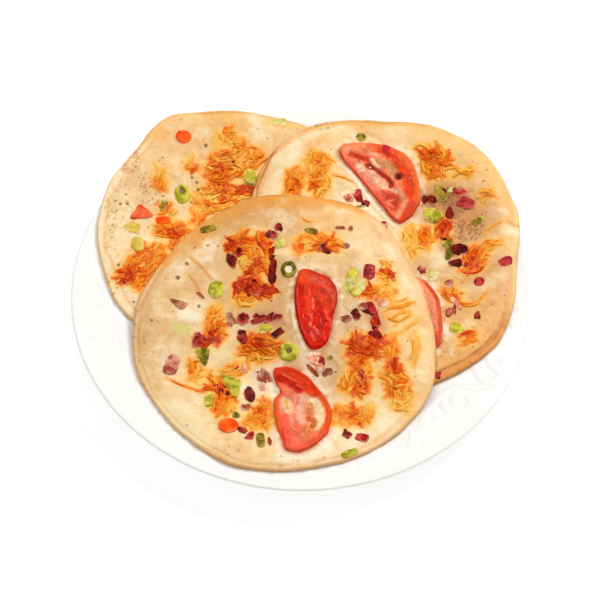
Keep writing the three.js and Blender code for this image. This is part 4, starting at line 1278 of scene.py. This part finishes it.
RIGHT_PORES = [
    (-18, 62, 1.4), (-30, 70, 1.2), (52, 10, 1.6), (56, 14, 1.4), (48, 14, 1.5), (50, 38, 1.4),
    (60, 22, 1.3), (44, 18, 1.3), (64, 52, 1.4), (56, 58, 1.2), (0, 28, 1.2), (-24, 26, 1.2),
    (70, -36, 1.3), (62, -42, 1.3), (50, -70, 1.2), (46, -24, 1.2), (62, 44, 1.4), (58, 8, 1.3),
]
RIGHT_HEAPS = [
    (-53, 48, 3, 7, 80, 13, 0.45), (-53, 44, 2, 3, 70, 4, 0.7), (-39, 61, 6, 5, 45, 16, 0.25),
    (-37, 47, 4, 7, 70, 14, 0.35), (34, 61, 7, 8, -50, 26, 0.45), (50, 51, 5, 2, 5, 3, 0.25),
    (33, 64, 4, 3, -20, 6, 0.7), (63, 34, 3, 3, 0, 3, 0.45), (17, 7, 5, 8, 80, 9, 0.15),
    (37, 15, 2.5, 5, 80, 9, 0.75), (27, 12, 4, 4, 60, 8, 0.5), (63, -1, 4, 2, 20, 4, 0.3),
    (54, -9, 5, 6, 60, 17, 0.75), (48, -63, 3, 3.5, 0, 5, 0.45), (40, -30, 3, 4, -50, 4, 0.3),
]
RIGHT_THREADS = [
    (0.4, [(-29, 52), (-22, 50), (-14, 46)]), (0.05, [(20, 72), (25, 74), (31, 70)]),
    (0.35, [(62, -3), (72, 2), (81, 6)]), (0.3, [(64, -6), (74, -1), (81, 4)]),
    (0.3, [(34, -25), (39, -33), (46, -39), (54, -39), (60, -33)]),
    (0.15, [(36, -23), (41, -30), (46, -34)]), (0.35, [(44, -39), (51, -41), (58, -37)]),
    (0.5, [(47, -9), (50, -2), (57, -1), (61, -8), (57, -16), (50, -16), (48, -10)]),
    (0.6, [(52, -8), (54, -6), (56, -9), (54, -11.5)]),
    (0.35, [(45, -14), (49, -18), (56, -18), (62, -12)]), (0.15, [(61, 8), (66, 12), (73, 15)]),
    (0.2, [(32, -27), (38, -35), (46, -40)]), (0.5, [(28, 66), (36, 68), (43, 62)]),
]
RIGHT_CUTS = {
    "chilli": [("leaf", 20), ("lime", 260), ("olive", 300), ("lime", 170)],
    "onion": [("magenta", 90), ("maroon", 0), ("magenta", 60), ("magenta", 90)],
}
RIGHT_ONIONS = [
    (-14, 38, 5, 8.5, 10, "magenta", 320), (-9, 33, 4, 5, 0, "plum", 320),
    (-19, 36.5, 5, 5.5, 0, "mauve", 200), (1, 17, 5, 5, 10, "mauve", 250),
    (27, 36.5, 3.4, 5, 0, "maroon", 0), (41, 26, 4, 7.5, 0, "maroon", 0), (31, 36, 5, 6, 30, "maroon", 0),
    (38, 40, 4, 5, 0, "maroon", 0), (37, 13, 4, 9, 10, "brick", 0), (34, 37.5, 4.5, 5, 0, "brown", 180),
    (48, 38.5, 9, 4, -10, "magenta", 90), (24, -11.5, 6, 4.5, 20, "mauve", 200),
    (42, -38, 2.6, 13, 34, "pink", 0), (54, -48, 3, 6, 10, "plum", 0), (39, -23, 5, 4.5, 0, "mauve", 60),
    (38, -43, 5, 5, 0, "mauve", 0), (44, -10, 8, 5, -10, "maroon", 250), (50, -12, 5, 4, 0, "plum", 0),
    (29, -86, 4, 4, 0, "magenta", 0), (-50, 37, 4, 3, 0, "brown", 0),
]
RIGHT_GREENS = [
    (40, 5, 5, 8, 10, "olive", 0), (39, -4, 4, 5, 0, "leaf", 30), (30, -16, 6, 8, 0, "pale", 90),
    (57, 17, 6, 4, 20, "olive", 0), (-14, 30, 6, 1.8, 20, "olive", 0), (36, 43, 5, 4, 0, "olive", 0),
    (43, 41, 5, 3, 20, "fresh", 0), (40, -1, 4, 5, 0, "leaf", 0), (3, 13, 3, 3, 0, "olive", 0),
    (31, 21, 11, 3.4, -26, "olive", 270),
]
RIGHT_MARKS = [
    ([(-23, 58.6), (-16, 49.6), (-11, 41), (-4, 31), (3, 22.6), (8.3, 16.6)], 2.6, (255, 230, 196),
        0.85, 0.8, 1.6),
    ([(75, 14), (80, 11), (84, 11)], 2, (222, 150, 84), 0.6, -0.4, 2),
    ([(72, 9), (80, 7)], 6, (255, 236, 198), 0.7, 0.2, 5),
    # Two dark brown patches among the pieces: browning and painted shadow.
    ([(34, 42), (50, 28), (58, 12)], 22, (208, 142, 78), 0.6, 0, 14),
    ([(28, 36), (40, 38), (44, 28), (40, 20)], 9, (140, 84, 34), 0.5, 0, 7),
    ([(60, 66), (68, 52), (72, 36)], 12, (250, 194, 116), 0.5, 0, 10),
    ([(34, 24), (38, 6), (44, -8)], 9, (196, 104, 54), 0.55, 0, 7),
    ([(30, 2), (34, -8)], 10, (254, 234, 196), 0.5, 0.1, 8),
    ([(48, -30), (60, -28), (70, -22)], 8, (253, 228, 186), 0.5, 0.1, 7),
    ([(-44, 72), (-34, 78)], 5, (244, 166, 84), 0.5, 0, 5),
]
RIGHT_SPECKS = [
    (48, 24, 30, 38, 130, (124, 68, 30)), (52, 12, 20, 16, 60, (110, 60, 28)),
    (38, 36, 20, 14, 50, (120, 62, 24)), (60, -54, 20, 30, 24, (186, 120, 64)),
    (58, 56, 30, 30, 26, (196, 132, 66)), (-34, 88, 12, 8, 14, (110, 62, 24)),
    (-20, 60, 60, 50, 20, (222, 170, 104)), (40, -76, 30, 16, 16, (170, 100, 44)),
]
BACK_MARKS = [
    ([(-13, 26), (2, 25), (13, 20), (21, 9), (22.5, -4), (20, -15)], 7, (248, 116, 50), 0.85, 0.3, 4),
    ([(-22, 24), (-8, 25)], 6, (252, 152, 104), 0.8, 0.1, 4),
    ([(2, 22), (9, 18), (14, 11), (17.5, 3), (18.5, -6), (17.5, -16), (15, -24)], 6.5, (230, 62, 14),
        0.9, 0.25, 4),
    ([(-6, 25), (0, 24.5)], 3, (228, 92, 52), 0.6, 0.1, 2.5),
    ([(-6, 20.5), (1, 19)], 2.4, (252, 186, 148), 0.7, 0.2, 2),
    ([(-17, 19), (-12, 17.5), (-7, 16)], 3.6, (204, 46, 8), 0.9, -0.35, 2.2),
    ([(-6, 15.5), (-5, 12)], 2, (176, 84, 40), 0.7, -0.1, 1.6),
    ([(-21, 13), (-16, 9)], 5, (246, 104, 82), 0.8, 0.1, 3),
    ([(-12, 11), (-10.5, 8)], 4.4, (244, 214, 182), 0.8, 0.1, 3),
    ([(-11.5, 9.5)], 1.6, (196, 150, 100), 0.7, -0.2, 1.4),
    ([(-9, 4), (-5, -4), (-2, -9)], 6, (246, 134, 108), 0.85, 0, 4),
    ([(-4, 6), (1, 0), (5, -6)], 7, (250, 184, 146), 0.9, 0, 5),
    ([(1, 15), (6, 13), (9, 7)], 6, (198, 138, 80), 0.85, -0.2, 3.5),
    ([(-4.5, 16), (-0.5, 11)], 2.2, (252, 206, 176), 0.85, 0.2, 1.6),
    ([(-7, 12), (-2.5, 9.5), (1.5, 6.5), (5, 3.5), (7.5, 0.5), (7, -2)], 2.8, (150, 18, 2), 0.9, -0.6, 1.6),
    ([(11.8, 5.4)], 4.6, (104, 0, 0), 0.95, -0.6, 2.4),
    ([(3.5, -4), (4, -7)], 1.6, (254, 222, 192), 0.8, 0.2, 1.4),
    ([(8.5, -4), (9, -8)], 1.8, (236, 204, 172), 0.7, 0.1, 1.5),
    ([(11, -5), (14, -10)], 5, (206, 158, 124), 0.75, -0.1, 3.5),
    ([(3, -8), (9, -10), (8, -16)], 7, (204, 52, 18), 0.85, -0.25, 4),
    ([(-2, -7), (1, -12), (5, -17)], 3, (242, 92, 70), 0.8, 0.15, 2.4),
    ([(4.5, -14), (7, -16)], 2.4, (252, 122, 102), 0.8, 0.3, 1.6),
    ([(16, -12), (14, -17), (11, -22), (9, -25)], 2.8, (246, 156, 118), 0.85, 0.3, 2),
    ([(17, -22), (21, -14)], 5, (210, 70, 46), 0.75, 0.1, 3.5),
    ([(-24, 17), (-15, 6), (-7.5, -3), (-0.5, -13), (6, -22), (10.5, -27)], 1.6, (214, 76, 40),
        0.8, 0.15, 1.4),
    ([(5, 28), (5, 22.5)], 4.6, (208, 38, 52), 0.95, 0.6, 1.4),
]
BACK_SEEDS = [
    (-12, 10, 60, (248, 222, 184)), (-10, 7.5, 130, (240, 206, 160)), (-2, 0, 40, (250, 214, 172)),
    (2, -4, 120, (246, 196, 140)), (10, -6, 80, (232, 186, 146)), (6, -13, 20, (244, 130, 96)),
]
TUCKED_MARKS = [
    ([(0, 24), (6, 13), (9, 2), (9.5, -8)], 4, (250, 150, 112), 0.85, 0.1, 3),
    ([(5, 21), (11, 10), (12.5, 0), (11.5, -12)], 2.4, (222, 84, 40), 0.85, 0.2, 1.8),
    ([(9.5, -14), (9, -22)], 3, (200, 72, 40), 0.8, 0, 2), ([(10, -11)], 2, (252, 120, 96), 0.8, 0.2, 1.4),
]
RIGHT_SLICES = [
    ("tomato_back_slice", (230, 80, 30), (240, 120, 82), 2.2, 2.3, 0, BACK_MARKS, BACK_SEEDS),
    ("tomato_tucked_slice", (230, 100, 56), (244, 140, 102), 2.5, 1.7, 0, TUCKED_MARKS, []),
]


# ---- The pancakes and all that is on them ----
def dress(pancake, washes, edges, marks, specks, pores, heaps, threads, cuts, onions, greens, slices=()):
    """A slice is its node, skin, flesh, width of the skin, rise, crown, strokes and seeds."""
    pancake.wash(washes)
    pancake.rim(edges)
    add_shreds(pancake, heaps, threads)
    for look in slices:
        add_slice(pancake, *look)
    for mark in marks:
        pancake.lay(mark)
    pancake.soak()
    pancake.specks(specks)
    for x, y, size in pores:
        pancake.pore(x, y, size)
    add_cut_nodes(pancake, cuts)
    add_bits(pancake, "onion", onions)
    add_bits(pancake, "chilli", greens)
    pancake.make()


make_plate()
dress(
    Pancake("uttapam_left", (-0.87, -2.5), 11), LEFT_WASHES, LEFT_BANDS, LEFT_MARKS, LEFT_SPECKS,
    LEFT_PORES, LEFT_HEAPS, LEFT_THREADS, LEFT_CUTS, LEFT_ONIONS, LEFT_GREENS,
)
dress(
    Pancake("uttapam_right", (0.09, -0.32), 12), RIGHT_WASHES, RIGHT_BANDS, RIGHT_MARKS, RIGHT_SPECKS,
    RIGHT_PORES, RIGHT_HEAPS, RIGHT_THREADS, RIGHT_CUTS, RIGHT_ONIONS, RIGHT_GREENS, RIGHT_SLICES,
)
dress(
    Pancake("uttapam_front", (0.44, 0.5), 13), FRONT_WASHES, FRONT_BANDS, FRONT_MARKS, FRONT_SPECKS,
    FRONT_PORES, FRONT_HEAPS, FRONT_THREADS, FRONT_CUTS, FRONT_ONIONS, FRONT_GREENS, FRONT_SLICES,
)


# ---- Floor, light and camera, in metres ----
FLOOR_HALF = 6.0
FLOOR_GREY = (0.45, 0.45, 0.45, 1)
FLOOR_GLOW = 0.62
SKY_COLOUR = (1, 0.95, 0.88, 1)
SKY_STRENGTH = 0.4
CAMERA_ELEVATION = math.radians(56.18)
CAMERA_DISTANCE = 1.0
CAMERA_TARGET = Vector((-0.0012, 0.0032, 0))
CAMERA_LENS = 100.55
SENSOR_WIDTH = 36
scene = bpy.context.scene


def make_floor():
    """A pale ground that is staging, and not a piece."""
    mesh = bpy.data.meshes.new("floor")
    corners = [(x * FLOOR_HALF, y * FLOOR_HALF, 0) for x, y in ((-1, -1), (1, -1), (1, 1), (-1, 1))]
    mesh.from_pydata(corners, [], [(0, 1, 2, 3)])
    floor = bpy.data.objects.new("floor", mesh)
    scene.collection.objects.link(floor)
    material = bpy.data.materials.new("floor")
    material.use_nodes = True
    fill(material.node_tree.nodes["Principled BSDF"], {
        "Base Color": FLOOR_GREY, "Roughness": 0.9,
        "Emission Color": (1, 1, 1, 1), "Emission Strength": FLOOR_GLOW,
    })
    mesh.materials.append(material)


def add_object(name, data, place, aim):
    """An object that looks from one place at another."""
    thing = bpy.data.objects.new(name, data)
    thing.location = place
    thing.rotation_euler = (Vector(aim) - Vector(place)).to_track_quat("-Z", "Y").to_euler()
    scene.collection.objects.link(thing)
    return thing


def add_light(name, place, power, size, colour):
    """A square light, aimed at the plate."""
    light = bpy.data.lights.new(name, "AREA")
    light.energy = power
    light.size = size
    light.color = colour
    add_object(name, light, place, (0, 0, 0))


def add_camera():
    """The camera, raised over the near side and aimed at its target."""
    camera = bpy.data.cameras.new("camera")
    camera.lens = CAMERA_LENS
    camera.sensor_width = SENSOR_WIDTH
    back = Vector((0, -math.cos(CAMERA_ELEVATION), math.sin(CAMERA_ELEVATION)))
    scene.camera = add_object("camera", camera, CAMERA_TARGET + CAMERA_DISTANCE * back, CAMERA_TARGET)


make_floor()
scene.world = bpy.data.worlds.new("studio")
scene.world.use_nodes = True
fill(scene.world.node_tree.nodes["Background"], {"Color": SKY_COLOUR, "Strength": SKY_STRENGTH})
add_light("key", (0.75, 0.6, 1.1), 9.6, 0.5, (0.97, 1, 1.02))
add_light("overhead", (-0.2, -0.2, 1.6), 8.6, 1.4, (1, 0.99, 0.97))
add_light("sparkle", (-0.25, 0.95, 1.0), 1.8, 0.14, (1, 1, 1))
scene.view_settings.view_transform = "Standard"
scene.view_settings.look = "None"
add_camera()
